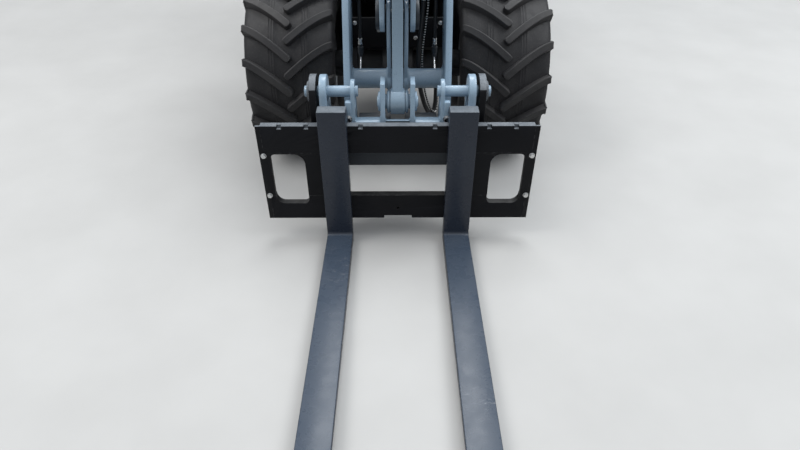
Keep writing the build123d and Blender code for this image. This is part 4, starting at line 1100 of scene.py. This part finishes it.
# %% [markdown]
# ## Hoses and fittings
# Hydraulic hose is black rubber over steel braid, stiff enough to keep a smooth curve. Each hose here is
# fixed at both ends in a crimped ferrule with a hex nut, so it is a NURBS curve through a few guiding points
# that is made into a mesh. The ferrule is turned once and copied to each end.

# %% Hose, ferrule and their helpers
FERRULE = mm(
    (-4, 0), (-4, 8.6), (10, 8.6), (10.5, 11.2), (13, 11.6), (16, 10.8), (19, 11.6), (22, 10.8), (25, 11.6),
    (28, 10.8), (31, 11.2), (32, 9.8), (32, 0),
)
FERRULE_FITS = 0.0095
STANDPIPE = mm(
    (0, 0), (0, 7), (2, 8.5), (12, 8.5), (14, 11.5), (40, 11.5), (42, 8.5), (52, 8.5), (54, 0)
)
MAIN_HOSE = mm(
    (100, -420, 830), (100, -420, 780), (92, -450, 700), (80, -474, 600), (86, -478, 500), (100, -476, 430),
    (119, -472, 370), (140, -455, 338), (158, -430, 352), (161, -420, 430), (157, -430, 500), (154, -455, 529),
    (153, -487, 530),
)
SIDE_START = mm((118, -425, 832), (118, -425, 780), (108, -448, 700))
SIDE_END = mm((166, -428, 350), (168.5, -400, 400), (165, -395, 480), (160, -420, 535), (160, -487.5, 545))
UPPER_HOSE = mm(
    (138, -425, 902), (136, -425, 950), (128, -350, 1000), (120, -230, 1060), (118, -130, 1130), (118, -95, 1110),
    (118, -95, 1064),
)


def make_ferrule():
    """Crimped ferrule with a hex nut, standing along X."""
    barrel = turned(FERRULE, "ferrule", 20)
    nut = soften(bar_across("ferrule_nut", 6, 0.0125, 0.010, (0.004, 0, 0)), 0.0009, 2)
    return coated(joined([barrel, nut], "ferrule_master"), zinc)


ferrule_master = make_ferrule()


def hose(name, points, thickness, home, material=hose_rubber):
    """Hose fixed at both ends, each in a ferrule."""
    finished(coated(tube(name, points, thickness), material), home, slot="plastic")
    for place, following, end in ((points[0], points[1], "start"), (points[-1], points[-2], "end")):
        direction = (Vector(following) - Vector(place)).normalized()
        stamped(ferrule_master, f"{name}_{end}", home, place, direction, thickness / FERRULE_FITS)


# %% Hoses between the boom's plates
def dashed(name):
    """Thin black cable with a row of pale printed dashes."""
    material, tree, principled = shader(name)
    where = coordinates(tree)
    dashes = node(tree, "ShaderNodeTexWave", Scale=34.0, Distortion=2.2, bands_direction="Z")
    tree.links.new(where, dashes.inputs["Vector"])
    marks = product(tree, span(tree, dashes.outputs["Fac"], 0.62, 0.72), upward(tree, -0.2, 0.1))
    tone = mixed(tree, marks, (0.012, 0.012, 0.013), (0.62, 0.62, 0.60))
    surfaced(tree, principled, Base_Color=tone, Roughness=clouds(tree, where, 60.0, 0.40, 0.50))
    relief(tree, principled, grain(tree, where, 900.0), 0.0002, 0.4)
    return material


beside = [(x + 0.015, y + 0.004, z + 0.004) for x, y, z in MAIN_HOSE[3:8]]
hose("hose_main", MAIN_HOSE, 0.0092, "boom")
hose("cable_side", (*SIDE_START, *beside, *SIDE_END), 0.0036, "boom", dashed("marked_cable"))
hose("hose_upper", UPPER_HOSE, 0.0070, "boom")
for side, side_name in SIDES:
    x = side * 0.146
    run = ((x, -0.497, 0.553), (x, -0.478, 0.568), (x, -0.455, 0.575), (x, -0.450, 0.592))
    finished(coated(tube(f"standpipe_{side_name}", run, 0.0036), chrome), "boom", slot="bright_steel")
    fitting(f"quick_coupler_{side_name}", STANDPIPE, 24, dark_paint, "boom", (x, -0.450, 0.590))
    run = ((x, -0.450, 0.640), (x, -0.450, 0.700), (x, -0.428, 0.760), (x, -0.425, 0.830))
    hose(f"hose_standpipe_{side_name}", run, 0.0070, "boom")
print("hoses done, ferrules along X:", round(ferrule_master.dimensions.x, 3))

# %% [markdown]
# ## Cylinders
# A hydraulic cylinder is a black barrel with a turned gland screwed into its mouth, a weld band at its base, a
# chromed rod with a collar at its eye, and a steel pipe that brings oil along the barrel to the far port. The
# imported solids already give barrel, rod and eyes. The turned parts are spun, and then aimed along the cylinder.

# %% Glands, bands, collars and pipes on the three cylinders
BAND = mm((-7, 37.8), (-5, 40), (-1, 40.8), (3, 40.2), (7, 37.8))
PORT = mm((-6, 0), (-6, 13.5), (8, 13.5), (10, 12), (10, 0))
PORT_RISE, NUT_RISE, PIPE_RISE = 0.040, 0.046, 0.066
COLLAR_TO_EYE = 0.036
PIPE = 0.0052
CYLINDERS = (
    ("tilt", "tilt_barrel", "tilt_rod", 0.0, (0.485, 1.550), (-0.593, 1.030), 0.760, 0.019),
    ("lift_right", "lift_barrel_right", "lift_rod_right", -0.115, (0.345, 0.590), (0.185, 1.185), 0.530, 0.020),
    ("lift_left", "lift_barrel_left", "lift_rod_left", 0.115, (0.345, 0.590), (0.185, 1.185), 0.530, 0.020),
)


def gland(rod):
    """Half section of the head that closes a barrel round its rod."""
    inner = rod + 0.0004
    outside = mm((-17, 29.6), (-0.4, 29.6), (-0.4, 39), (2, 41.2), (6, 41.2), (7, 40.2), (13, 40.2), (15, 38))
    return ((-0.017, inner), *outside, (0.016, inner + 0.010), (0.022, inner + 0.006), (0.023, inner))


def dress_cylinder(name, barrel, rod_node, x, base, eye, length, rod):
    """Add the turned parts and the pipe of one cylinder: base and eye are (y, z), and rod is the rod's radius."""
    base, eye = Vector(base), Vector(eye)
    way = (eye - base).normalized()
    up = Vector((way.y, -way.x))
    along, away = (0, way.x, way.y), (0, up.x, up.y)
    foot_port, head_port = 0.085, length - 0.060
    foot_band, head_band = 0.040, length - 0.030

    def spot(distance, lift=0.0):
        """Point along the cylinder, raised off its line."""
        place = base + way * distance + up * lift
        return (x, place.x, place.y)

    fitting(f"{name}_gland", gland(rod), 40, dark_paint, barrel, spot(length), along, ring=True)
    bands = [aimed(turned(BAND, "band", 40, ring=True), spot(distance), along) for distance in (foot_band, head_band)]
    built(f"{name}_bands", bands, black_paint, barrel)
    collar = [(distance, rod + extra) for distance, extra in mm((-12, -1), (-12, 4), (-9, 8), (4, 9), (6, -1))]
    at_eye = spot((eye - base).length - COLLAR_TO_EYE)
    fitting(f"{name}_eye_collar", collar, 36, pin_steel, rod_node, at_eye, along, ring=True)
    ports = [aimed(turned(PORT, "port", 24), spot(distance, PORT_RISE), away) for distance in (foot_port, head_port)]
    built(f"{name}_ports", ports, black_paint, barrel)
    run = [(head_port, 0.048), (head_port, PIPE_RISE), (length - 0.085, PIPE_RISE)]
    run += [(0.135, PIPE_RISE), (0.110, PIPE_RISE), (0.110, 0.037)]
    finished(coated(tube(f"{name}_pipe", [spot(*point) for point in run], PIPE, fineness=6), zinc), barrel)
    stamped(ferrule_master, f"{name}_pipe_nut", barrel, spot(head_port, NUT_RISE), away, 0.62)
    stamped(ferrule_master, f"{name}_hose_nut", barrel, spot(foot_port, NUT_RISE), away, 0.72)


for cylinder in CYLINDERS:
    dress_cylinder(*cylinder)
print("cylinders dressed", [cylinder[0] for cylinder in CYLINDERS])

# %% [markdown]
# ## Grease nipples and the hoses over the steering joint
# The main pins have a grease nipple each, a bright spot as small as a pea. Four hoses cross the steering joint, with a
# ferrule at the front frame's wall and one at the rear frame's.

# %% Nipples and steering hoses
NIPPLES = (
    ("tilt_rod", (0.0, -0.593, 1.0635), (0, -0.3, 0.95)),
    ("tilt_barrel", (0.0, 0.485, 1.5858), UP),
    ("lift_rod_right", (-0.115, 0.1515, 1.185), FRONT),
    ("lift_rod_left", (0.115, 0.1515, 1.185), FRONT),
    ("boom", (-0.187, -0.700, 0.4598), UP),
    ("boom", (0.187, -0.700, 0.4598), UP),
    ("rear_chassis", (0.0, 0.7815, 0.8650), (0, 1, 0.1)),
)
for count, (node_name, place, direction) in enumerate(NIPPLES):
    stamped(nipple_master, f"grease_nipple_{count}", node_name, place, direction)

FRONT_WALL, REAR_WALL, HOSE_Z = 0.5855, 0.8455, 0.700
STEERING_HOSES, STEERING_HOSE = (-0.075, -0.045, 0.045, 0.075), 0.0085
for count, x in enumerate(STEERING_HOSES):
    crossing = (
        (x, FRONT_WALL, HOSE_Z), (x, 0.625, HOSE_Z), (x * 1.1, 0.665, 0.690), (x * 1.2, 0.720, 0.672),
        (x * 1.1, 0.775, 0.690), (x, 0.810, HOSE_Z), (x, REAR_WALL, HOSE_Z),
    )
    line = coated(tube(f"steering_hose_{count}", crossing, STEERING_HOSE), hose_rubber)
    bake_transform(line)
    for wall, direction, chassis in ((FRONT_WALL, BACK, "front_chassis"), (REAR_WALL, FRONT, "rear_chassis")):
        stamped(ferrule_master, f"steering_hose_{count}_{chassis}", chassis, (x, wall, HOSE_Z), direction, 0.9)
print("nipples", len(NIPPLES))

# %% [markdown]
# ## Seat cushions
# A loader's seat is moulded foam in a vinyl cover. Foam pushes the cover out between its seams, so each
# cushion starts a little smaller than its space, is remeshed into even faces, and is blown up by a cloth
# simulation with pressure and without gravity. How far a point may move is capped. The seams are pressed in
# after that, because remeshing would erase them, and a bead of piping runs round the edge.

# %% Cushion by cloth simulation
VOXEL = 0.006
SWELL_CAP = 0.010
PRESSURE, CLOTH_FRAMES = 4, 20
SEAM_WIDTH, SIDE_SEAM, CROSS_SEAM = 0.0055, 0.009, 0.008
FACING = 0.15


def swollen(piece):
    """Remesh a closed form evenly and let cloth pressure fill it like foam."""
    take(piece)
    piece.data.remesh_voxel_size = VOXEL
    bpy.ops.object.voxel_remesh()
    starts = [vertex.co.copy() for vertex in piece.data.vertices]
    cloth = piece.modifiers.new("cloth", "CLOTH")
    cloth.settings.use_pressure = True
    cloth.settings.uniform_pressure_force = PRESSURE
    cloth.settings.effector_weights.gravity = 0
    for moment in range(1, CLOTH_FRAMES + 1):
        bpy.context.scene.frame_set(moment)
    apply_modifiers(piece)
    bpy.context.scene.frame_set(1)
    for vertex, start in zip(piece.data.vertices, starts):
        move = vertex.co - start
        if move.length > SWELL_CAP:
            vertex.co = start + move.normalized() * SWELL_CAP
    return piece


def subdivided(piece):
    """One smooth subdivision, applied."""
    take(piece)
    smooth = piece.modifiers.new("smooth", "SUBSURF")
    smooth.levels = smooth.render_levels = 1
    apply_modifiers(piece)
    bpy.ops.object.shade_smooth()
    return piece


def groove(distance, depth):
    """Depth of a sewn channel at a distance from its seam."""
    return depth * exp(-((distance / SEAM_WIDTH) ** 2))


def sewn(piece, outward, axis, seam_x, seams):
    """Press two seams at the sides, and some across between them, into the side that faces outward."""
    normals = [vertex.normal.copy() for vertex in piece.data.vertices]
    for vertex, normal in zip(piece.data.vertices, normals):
        if normal.dot(outward) > FACING:
            depth = groove(abs(vertex.co.x) - seam_x, SIDE_SEAM)
            if abs(vertex.co.x) < seam_x:
                depth = max(depth, *(groove(vertex.co[axis] - seam, CROSS_SEAM) for seam in seams))
            vertex.co -= normal * depth
    return normals


# %% Seat cushion and back cushion
ALONG_Y, ALONG_Z = 1, 2
CUSHION_FLOOR = 0.8905
HOLLOW, HOLLOW_WIDTH = 0.010, 0.11
PIPING, PIPING_Z, PIPING_WIDTH = 0.0028, 0.966, 0.0038
cushion = swollen(block_at("seat_cushion_pad", (-0.214, 1.121, CUSHION_FLOOR), (0.214, 1.415, 0.990), 0.026, 4))
subdivided(cushion)
normals = sewn(cushion, Vector(UP), ALONG_Y, 0.128, (1.205, 1.285))
for vertex, normal in zip(cushion.data.vertices, normals):
    if normal.z > FACING:
        vertex.co.z -= HOLLOW * exp(-((vertex.co.x / HOLLOW_WIDTH) ** 2))
    if abs(normal.z) < 0.8:
        vertex.co += normal * PIPING * exp(-(((vertex.co.z - PIPING_Z) / PIPING_WIDTH) ** 2))
    vertex.co.z = max(vertex.co.z, CUSHION_FLOOR)
finished(coated(cushion, vinyl), "rear_frame", "seat_cushion")

BACK_LEAN, BACK_Z = 0.220, 1.1600
REAR_Y, REAR_Z, REAR_LEAN = 1.4500, 1.006, 0.1946
back = block_at("seat_back_pad", (-0.203, 1.392, 1.016), (0.203, 1.472, 1.312), 0.024, 4)
for vertex in back.data.vertices:
    vertex.co.y += (vertex.co.z - BACK_Z) * BACK_LEAN
subdivided(swollen(back))
sewn(back, Vector(FRONT), ALONG_Z, 0.118, (1.095, 1.165, 1.235))
for vertex in back.data.vertices:
    vertex.co.y = min(vertex.co.y, REAR_Y + (vertex.co.z - REAR_Z) * REAR_LEAN)
finished(coated(back, vinyl), "rear_frame", "seat_back")
print("cushion", [round(v, 3) for v in cushion.dimensions], "back", [round(v, 3) for v in back.dimensions])

# %% [markdown]
# ## Steering wheel
# The wheel is a round foam rim on three flat spokes, with a hub cap in the middle and a spinner knob that
# lets one hand turn it. It is made about X and then turned into the column's direction.

# %% Steering wheel, hub, spokes and knob
COLUMN_TILT = radians(32)
COLUMN_HEAD = (0.0, 1.0463, 1.2981)
GRIP_RADIUS, WHEEL_RADIUS, GRIP_SIDES, SPOKES = 0.0126, 0.175, 14, 3
HUB = mm((0.4, 0), (0.4, 34), (4, 37.5), (24, 37.5), (30, 34), (33, 26), (33.5, 0))
HUB_RING = mm((30.5, 33), (33, 32), (33.6, 29.5), (33, 27.5), (30.5, 27))
KNOB = mm((18, 0), (18, 8), (28, 7), (31, 15), (40, 20.5), (52, 20.5), (60, 15), (62.5, 0))
RIM_X, KNOB_PLACE = 0.014, (0, 0.125, 0.122)
column_axis = Vector((0, sin(COLUMN_TILT), cos(COLUMN_TILT)))
column_frame = Matrix((column_axis, (1, 0, 0), (0, cos(COLUMN_TILT), -sin(COLUMN_TILT)))).transposed().to_4x4()
around = [2 * pi * count / GRIP_SIDES for count in range(GRIP_SIDES)]
grip_profile = [(RIM_X + GRIP_RADIUS * cos(turn), WHEEL_RADIUS + GRIP_RADIUS * sin(turn)) for turn in around]
wheel_parts = [
    coated(turned(grip_profile, "wheel_rim", 72, ring=True), plastic),
    coated(turned(HUB, "wheel_hub", 40), plastic),
    coated(turned(HUB_RING, "hub_ring", 40, ring=True), chrome),
]
for count in range(SPOKES):
    spoke = block_at("spoke", (0.010, -0.013, 0.030), (0.018, 0.013, 0.170))
    edit(spoke, test=lambda middle, normal: normal.z > 0.9)
    bpy.ops.transform.resize(value=(0.8, 0.72, 1), center_override=(RIM_X, 0, 0.170))
    leave_edit()
    soften(spoke, 0.0028, 3)
    spoke.data.transform(Matrix.Rotation(2 * pi * count / SPOKES, 4, "X"))
    wheel_parts.append(coated(spoke, pin_steel))
wheel_parts.append(aimed(coated(turned(KNOB, "spinner_knob", 28), plastic), KNOB_PLACE))
wheel = joined(wheel_parts, "steering_wheel_made")
wheel.data.transform(Matrix.Translation(COLUMN_HEAD) @ column_frame)
finished(wheel, "steering_wheel", "steering_wheel")
print("steering wheel top", round(max(v.co.z for v in wheel.data.vertices), 3))

# %% [markdown]
# ## Console, levers and pedals
# The console's sloping top carries a round gauge, a key switch and a row of rocker switches. Levers are bent
# rod with a turned knob, and they leave the panel through a rubber boot. The pedals are ribbed plates.

# %% Gauge, key, rockers and levers
PANEL_SLOPE = radians(26.57)
PANEL_NORMAL = Vector((0, 0.447, 0.894))
PANEL_Y, PANEL_Z = 0.885, 1.120
BEZEL = mm((-2, 36), (4, 36), (10, 34), (11, 31), (6, 29), (-2, 29))
DIAL = mm((-1, 0), (-1, 29.5), (6.2, 29.2), (7.2, 20), (7.6, 0))
KEY = mm((-1, 0), (-1, 14), (5, 14), (7, 12), (7, 6), (12, 5.5), (12, 0))
BOOT = mm(
    (0, 0), (0, 30), (4, 31), (6, 25), (11, 27), (13, 20), (18, 22), (20, 15), (25, 17), (28, 10), (34, 9), (35, 0)
)
GRIP = mm((0, 0), (0, 8), (6, 13), (30, 16.5), (60, 15), (78, 19), (92, 17.5), (100, 10), (102, 0))
BALL = mm((0, 0), (0, 7), (4, 12), (12, 16.5), (22, 16.5), (30, 12), (34, 0))


def panel_spot(x, down):
    """Point on the console's sloping top at a distance down its slope."""
    return Vector((x, PANEL_Y + down * PANEL_NORMAL.z, PANEL_Z - down * PANEL_NORMAL.y))


ROCKERS, FIRST_ROCKER, ROCKER_STEP, ROCKER_DOWN = 3, -0.060, 0.028, 0.083
gauge_at, key_at = panel_spot(0.095, 0.050), panel_spot(-0.095, 0.045)
fitting("gauge_bezel", BEZEL, 36, plastic, "rear_frame", gauge_at, PANEL_NORMAL, ring=True)
fitting("gauge_glass", DIAL, 36, lamp_glass, "rear_frame", gauge_at, PANEL_NORMAL)
fitting("key_switch", KEY, 28, zinc, "rear_frame", key_at, PANEL_NORMAL)
rockers = []
for count in range(ROCKERS):
    rocker = block_at("rocker", (-0.010, -0.017, -0.004), (0.010, 0.017, 0.006), 0.0028)
    edit(rocker, test=lambda middle, normal: normal.z > 0.95 and middle.y > -0.012)
    bpy.ops.mesh.inset(thickness=0.003)
    leave_edit()
    place = Matrix.Translation(panel_spot(FIRST_ROCKER + ROCKER_STEP * count, ROCKER_DOWN))
    rocker.data.transform(place @ Matrix.Rotation(-PANEL_SLOPE, 4, "X"))
    rockers.append(rocker)
built("rocker_switches", rockers, dark_paint, "rear_frame", slot="plastic")


def lever(name, foot, bend, tip, handle, thickness=0.006):
    """Bent lever with a rubber boot at its foot and a turned handle at its tip."""
    foot, bend, tip = Vector(foot), Vector(bend), Vector(tip)
    fitting(f"{name}_boot", BOOT, 28, hose_rubber, "rear_frame", foot)
    run = (foot, foot.lerp(bend, 0.6), bend, bend.lerp(tip, 0.5), tip)
    finished(coated(tube(f"{name}_stick", run, thickness), zinc), "rear_frame")
    fitting(f"{name}_grip", handle, 28, plastic, "rear_frame", tip, (tip - bend).normalized())


lever("loader_lever", (-0.320, 1.225, 1.0095), (-0.320, 1.225, 1.075), (-0.318, 1.212, 1.120), GRIP)
lever("throttle_lever", (-0.120, 0.925, 1.0990), (-0.120, 0.930, 1.160), (-0.132, 0.965, 1.215), BALL, 0.0045)
lever("drive_lever", (0.120, 0.925, 1.0990), (0.120, 0.930, 1.150), (0.136, 0.960, 1.195), BALL, 0.0045)

PEDAL_X, PEDAL_TILT = 0.205, radians(-38)
PEDAL_RIBS = (-0.04, -0.02, 0, 0.02, 0.04)
for side, side_name in SIDES:
    x = side * PEDAL_X
    plates = [block_at("pedal_plate", (-0.040, -0.055, -0.005), (0.040, 0.055, 0.005), 0.003)]
    for y in PEDAL_RIBS:
        plates.append(block_at("rib", (-0.034, y - 0.004, 0.004), (0.034, y + 0.004, 0.0085), 0.0015, 2))
    pedal = joined(plates, f"pedal_{side_name}")
    pedal.data.transform(Matrix.Translation((x, 0.930, 0.712)) @ Matrix.Rotation(PEDAL_TILT, 4, "X"))
    finished(coated(pedal, hose_rubber), "rear_frame")
    run = ((x, 0.935, 0.705), (x, 0.942, 0.680), (x, 0.950, 0.655))
    finished(coated(tube(f"pedal_stem_{side_name}", run, 0.007), dark_paint), "rear_frame")
print("levers and pedals done")

# %% [markdown]
# ## Roof, lamps and lights
# The roof is a moulded panel with a sunk middle and long ribs. The lamps have a bezel and a ribbed lens, made
# by an inset on the front face that is then pushed in. The inner faces keep their own glass material.

# %% Roof panel, work lights and tail lights
def sunk(piece, test, rim, depth, material=None):
    """Inset the faces that pass a test and push them in; give them a material of their own."""
    edit(piece, test=test)
    bpy.ops.mesh.inset(thickness=rim, use_individual=True)
    bpy.ops.mesh.inset(thickness=0.0015, depth=-depth, use_individual=True)
    leave_edit()
    if material:
        piece.data.materials.append(material)
        for face in piece.data.polygons:
            if face.select:
                face.material_index = len(piece.data.materials) - 1
    return piece


ROOF_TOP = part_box("roof")[1].z
RIB_PLACES, RIB_HALF = (-0.30, -0.10, 0.10, 0.30), 0.024
roof = coated(merged_copy("roof"), blue_paint)
sunk(roof, lambda middle, normal: normal.z > 0.9, 0.050, 0.010)
soften(roof, 0.008, 3)
finished(roof, "rear_frame", "roof")
ribs = [
    block_at("rib", (x - RIB_HALF, 0.900, ROOF_TOP - 0.014), (x + RIB_HALF, 1.640, ROOF_TOP - 0.002), 0.004)
    for x in RIB_PLACES
]
built("roof_ribs", ribs, blue_paint, "rear_frame")

LAMP_FACES = [corner.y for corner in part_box("work_lights")]
lights = coated(merged_copy("work_lights"), plastic)
sunk(
    lights,
    lambda middle, normal: abs(normal.y) > 0.9 and min(abs(middle.y - y) for y in LAMP_FACES) < 0.001,
    0.0065,
    0.004,
    lamp_glass,
)
soften(lights, 0.003)
finished(lights, "rear_frame", "work_lights")

TAIL_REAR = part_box("tail_lights")[1].y
AMBER_FROM = 0.342
tails = coated(merged_copy("tail_lights"), plastic)
sunk(tails, lambda middle, normal: normal.y > 0.9 and abs(middle.y - TAIL_REAR) < 0.001, 0.0045, 0.0012, red_lens)
for side in (-1, 1):
    edit(tails, test=lambda middle, normal: normal.y > 0.9 and side * middle.x > 0)
    bpy.ops.mesh.bisect(plane_co=(side * AMBER_FROM, 2.09, 0.77), plane_no=(1, 0, 0))
    leave_edit()
tails.data.materials.append(amber_lens)
for face in tails.data.polygons:
    if face.material_index == 1 and abs(face.center.x) > AMBER_FROM:
        face.material_index = 2
soften(tails, 0.0012)
finished(tails, "rear_frame", "tail_lights", slot="lens")
print("roof top", round(ROOF_TOP, 3), "tail lights at", round(TAIL_REAR, 3))

# %% [markdown]
# ## Small fittings of the body
# Tanks have a knurled cap, the hood a handle and a grille with a mesh behind its slots, the posts a grab
# handle each, and the counterweight its side bolts and the hitch pin.

# %% Caps, handles, grille mesh, bolts and hitch pin
CAP = mm((0, 0), (0, 36), (5, 38), (9, 38), (10, 33), (28, 32), (32, 28), (33, 0))
CAP_PLACE, CAP_SIDES, NOTCH_DEPTH = (0.440, 1.440, 1.0095), 36, 0.0022
KNURL_FROM, KNURL_TO = 0.0095, 0.030
HANDLE_X, HANDLE_HEIGHT = 0.452, 0.360
HANDLE_FOOT = mm((-1, 0), (-1, 17), (3, 17), (5, 13), (5, 0))
HITCH_PIN = mm((-70, 0), (-70, 9), (-64, 12.5), (12, 12.5), (12, 19), (18, 20), (24, 18), (26, 0))
for side, side_name in SIDES:
    cap = turned(CAP, f"tank_cap_{side_name}", CAP_SIDES)
    for vertex in cap.data.vertices:
        if KNURL_FROM < vertex.co.x < KNURL_TO:
            turn = Vector((vertex.co.y, vertex.co.z))
            notched = round(turn.angle_signed(Vector((1, 0))) / (2 * pi) * CAP_SIDES) % 3 == 0
            vertex.co -= Vector((0, turn.x, turn.y)).normalized() * (NOTCH_DEPTH if notched else 0.0)
    finished(coated(aimed(cap, (side * CAP_PLACE[0], *CAP_PLACE[1:]), UP), plastic), "rear_frame")


def bar_handle(name, foot, top, reach, body, material, thickness):
    """Round bar handle between two feet that stands off a surface."""
    foot, top, reach = Vector(foot), Vector(top), Vector(reach)
    length = top - foot
    run = [foot, foot + reach * 0.7, foot + reach + length * 0.06, foot.lerp(top, 0.5) + reach]
    run += [top + reach - length * 0.06, top + reach * 0.7, top]
    parts = [tube(name, run, thickness, fineness=10)]
    for place in (foot, top):
        parts.append(aimed(turned(HANDLE_FOOT, "foot", 24), place, reach.normalized()))
    return built(name, parts, material, body)


for side, side_name in SIDES:
    for place, near, low in (("front", 0.862, 1.150), ("rear", 1.592, 1.250)):
        foot, top = (side * HANDLE_X, near, low), (side * HANDLE_X, near, low + HANDLE_HEIGHT)
        bar_handle(f"grab_handle_{place}_{side_name}", foot, top, (0, -0.045, 0), "rear_frame", black_paint, 0.0100)
bar_handle("hood_handle", (-0.085, 2.005, 1.100), (0.085, 2.005, 1.100), (0, 0.0273, 0.0218), "hood", plastic, 0.0080)

GRILLE_SLANT = radians(8.7)
WIRE, WIRE_FRONT, WIRE_BACK = 0.0012, 0.0034, 0.0006
GRILLE_HALF_X, GRILLE_HALF_Z, WIRE_HALF_Z = 0.236, 0.074, 0.072
ROW_STEP, COLUMN_STEP = 0.0082, 0.0118
wires = [block_at("grille_mesh", (-GRILLE_HALF_X, -WIRE, -GRILLE_HALF_Z), (GRILLE_HALF_X, WIRE, GRILLE_HALF_Z))]
for level in [ROW_STEP * count for count in range(-8, 9)]:
    low, high = (-GRILLE_HALF_X, WIRE_BACK, level - WIRE), (GRILLE_HALF_X, WIRE_FRONT, level + WIRE)
    wires.append(block_at("wire", low, high))
for x in [COLUMN_STEP * count for count in range(-19, 20)]:
    wires.append(block_at("wire", (x - WIRE, WIRE_BACK, -WIRE_HALF_Z), (x + WIRE, WIRE_FRONT, WIRE_HALF_Z)))
grille = joined(wires, "grille_mesh")
grille.data.transform(Matrix.Translation((0, 2.0455, 0.946)) @ Matrix.Rotation(GRILLE_SLANT, 4, "X"))
finished(coated(grille, plastic), "hood")
weight_bolts = [((side * 0.4302, 2.028, z), (side, 0, 0)) for side in (-1, 1) for z in (0.500, 0.640, 0.780)]
fastened("counterweight_bolts", "rear_frame", weight_bolts, 1.5)
fitting("hitch_pin", HITCH_PIN, 28, zinc, "rear_frame", (0, 2.065, 0.5225))
fender_bolts = [((side * 0.600, y, 0.8472), UP) for side in (-1, 1) for y in (1.150, 1.400, 1.640)]
fastened("fender_bolts", "rear_frame", fender_bolts)
print("caps, handles, grille and bolts done")

# %% [markdown]
# ## Chequered floor
# The floor and the steps are chequer plate. A raised lozenge keeps a boot from slipping. One lozenge is a
# low eight-sided pyramid stump, stretched to a leaf, and it is copied in rows that turn by a right angle.

# %% Lozenges on the platform and the steps
LOZENGE_STEP = 0.028
LOZENGE_SIZE = (0.0130, 0.0044, 0.0016)


def make_lozenge():
    """Leaf-shaped stud, 26 mm long, on the plane z = 0."""
    bpy.ops.mesh.primitive_cylinder_add(vertices=8, radius=1, depth=1, end_fill_type="NGON")
    stud = newest("lozenge")
    stud.scale = LOZENGE_SIZE
    settle(stud)
    edit(stud, test=lambda middle, normal: normal.z > 0.9)
    bpy.ops.transform.resize(value=(0.70, 0.45, 1), center_override=(0, 0, 0))
    leave_edit()
    return stud


def steps_between(low, high):
    """Numbered places from low up to high, one lozenge apart."""
    places, place = [], low
    while place < high:
        places.append(place)
        place += LOZENGE_STEP
    return enumerate(places)


def chequered(name, low, high, level, keep):
    """Rows of lozenges on a rectangle, turned by turns, where keep(x, y) is true."""
    studs = []
    for count_y, y in steps_between(low[1], high[1]):
        for count_x, x in steps_between(low[0], high[0]):
            if keep(x, y):
                stud = copied(lozenge, "lozenge_copy")
                turn = Matrix.Rotation(radians(45 if (count_x + count_y) % 2 else -45), 4, "Z")
                stud.data.transform(Matrix.Translation((x, y, level)) @ turn)
                studs.append(stud)
    piece = built(name, studs, dark_paint, "rear_frame")
    print(name, len(piece.data.polygons), "faces")


def open_floor(x, y):
    """True where the floor is not covered by the console, the wall or a post."""
    console = abs(x) < 0.170 and y < 1.000
    wall = abs(x) < 0.215 and y < 0.880
    post = 0.405 < abs(x) and y < 0.940
    return not (console or wall or post)


lozenge = make_lozenge()
chequered("floor_lozenges", (-0.462, 0.862), (0.466, 1.098), 0.6546, open_floor)
for side, side_name in SIDES:
    near, far = sorted((side * 0.462, side * 0.540))
    chequered(f"step_lozenges_{side_name}", (near, 0.888), (far, 1.015), 0.4046, lambda x, y: True)
discard(lozenge)

# %% [markdown]
# ## Engine details
# With the hood up one sees the engine, so it gets a rocker cover with an oil cap, a belt round the pulleys,
# clamps on the air filter, a coolant hose to the radiator and the radiator's cap.

# %% Belt, clamps, hoses and caps on the engine
OIL_CAP = mm((0, 0), (0, 20), (10, 19), (14, 16), (15, 0))
CLAMP = mm((-7, 61.5), (-7, 64), (7, 64), (7, 61.5))
COOLANT_RUN = mm((60, 1835, 985), (60, 1870, 1000), (60, 1905, 985), (62, 1935, 950), (62, 1945, 930))
PULLEYS = ((1.865, 0.760), (1.785, 0.880))
BELT_X, BELT_RADIUS, BELT_STEPS, BELT_HALF = 0.120, 0.0535, 8, 0.0045
cover = block_at("rocker_cover", (-0.066, 1.640, 1.0245), (0.066, 1.840, 1.044), 0.007)
finished(coated(cover, rim_paint), "rear_frame", slot="cast")
fitting("oil_cap", OIL_CAP, 24, plastic, "rear_frame", (0.0, 1.690, 1.0435))
fitting("radiator_cap", OIL_CAP, 24, zinc, "rear_frame", (-0.120, 1.955, 0.9695))
clamps = [aimed(turned(CLAMP, "clamp", 40, ring=True), (x, 1.725, 0.890)) for x in (-0.176, -0.128)]
built("filter_clamps", clamps, zinc, "rear_frame")
finished(coated(tube("coolant_hose", COOLANT_RUN, 0.016, 5), hose_rubber), "rear_frame")
way = (Vector(PULLEYS[1]) - Vector(PULLEYS[0])).normalized()
belt_points = []
for centre, start in zip(PULLEYS, (Vector((way.y, -way.x)), Vector((-way.y, way.x)))):
    for step in range(BELT_STEPS + 1):
        turn = Matrix.Rotation(-pi * step / BELT_STEPS, 2) @ start
        belt_points.append((BELT_X, centre[0] + BELT_RADIUS * turn.x, centre[1] + BELT_RADIUS * turn.y))
belt_points.append(belt_points[0])
belt = tube("fan_belt", belt_points, BELT_HALF, 2, radii=[1.0] * len(belt_points))
finished(coated(belt, hose_rubber), "rear_frame")
print("engine dressed")

# %% [markdown]
# ## Removing the masters
# The bolt, nipple and ferrule masters, which were only copied, are removed. The dressed loader must be
# no larger than the CAD model.

# %% Remove the masters
discard(bolt_master, nipple_master, ferrule_master)
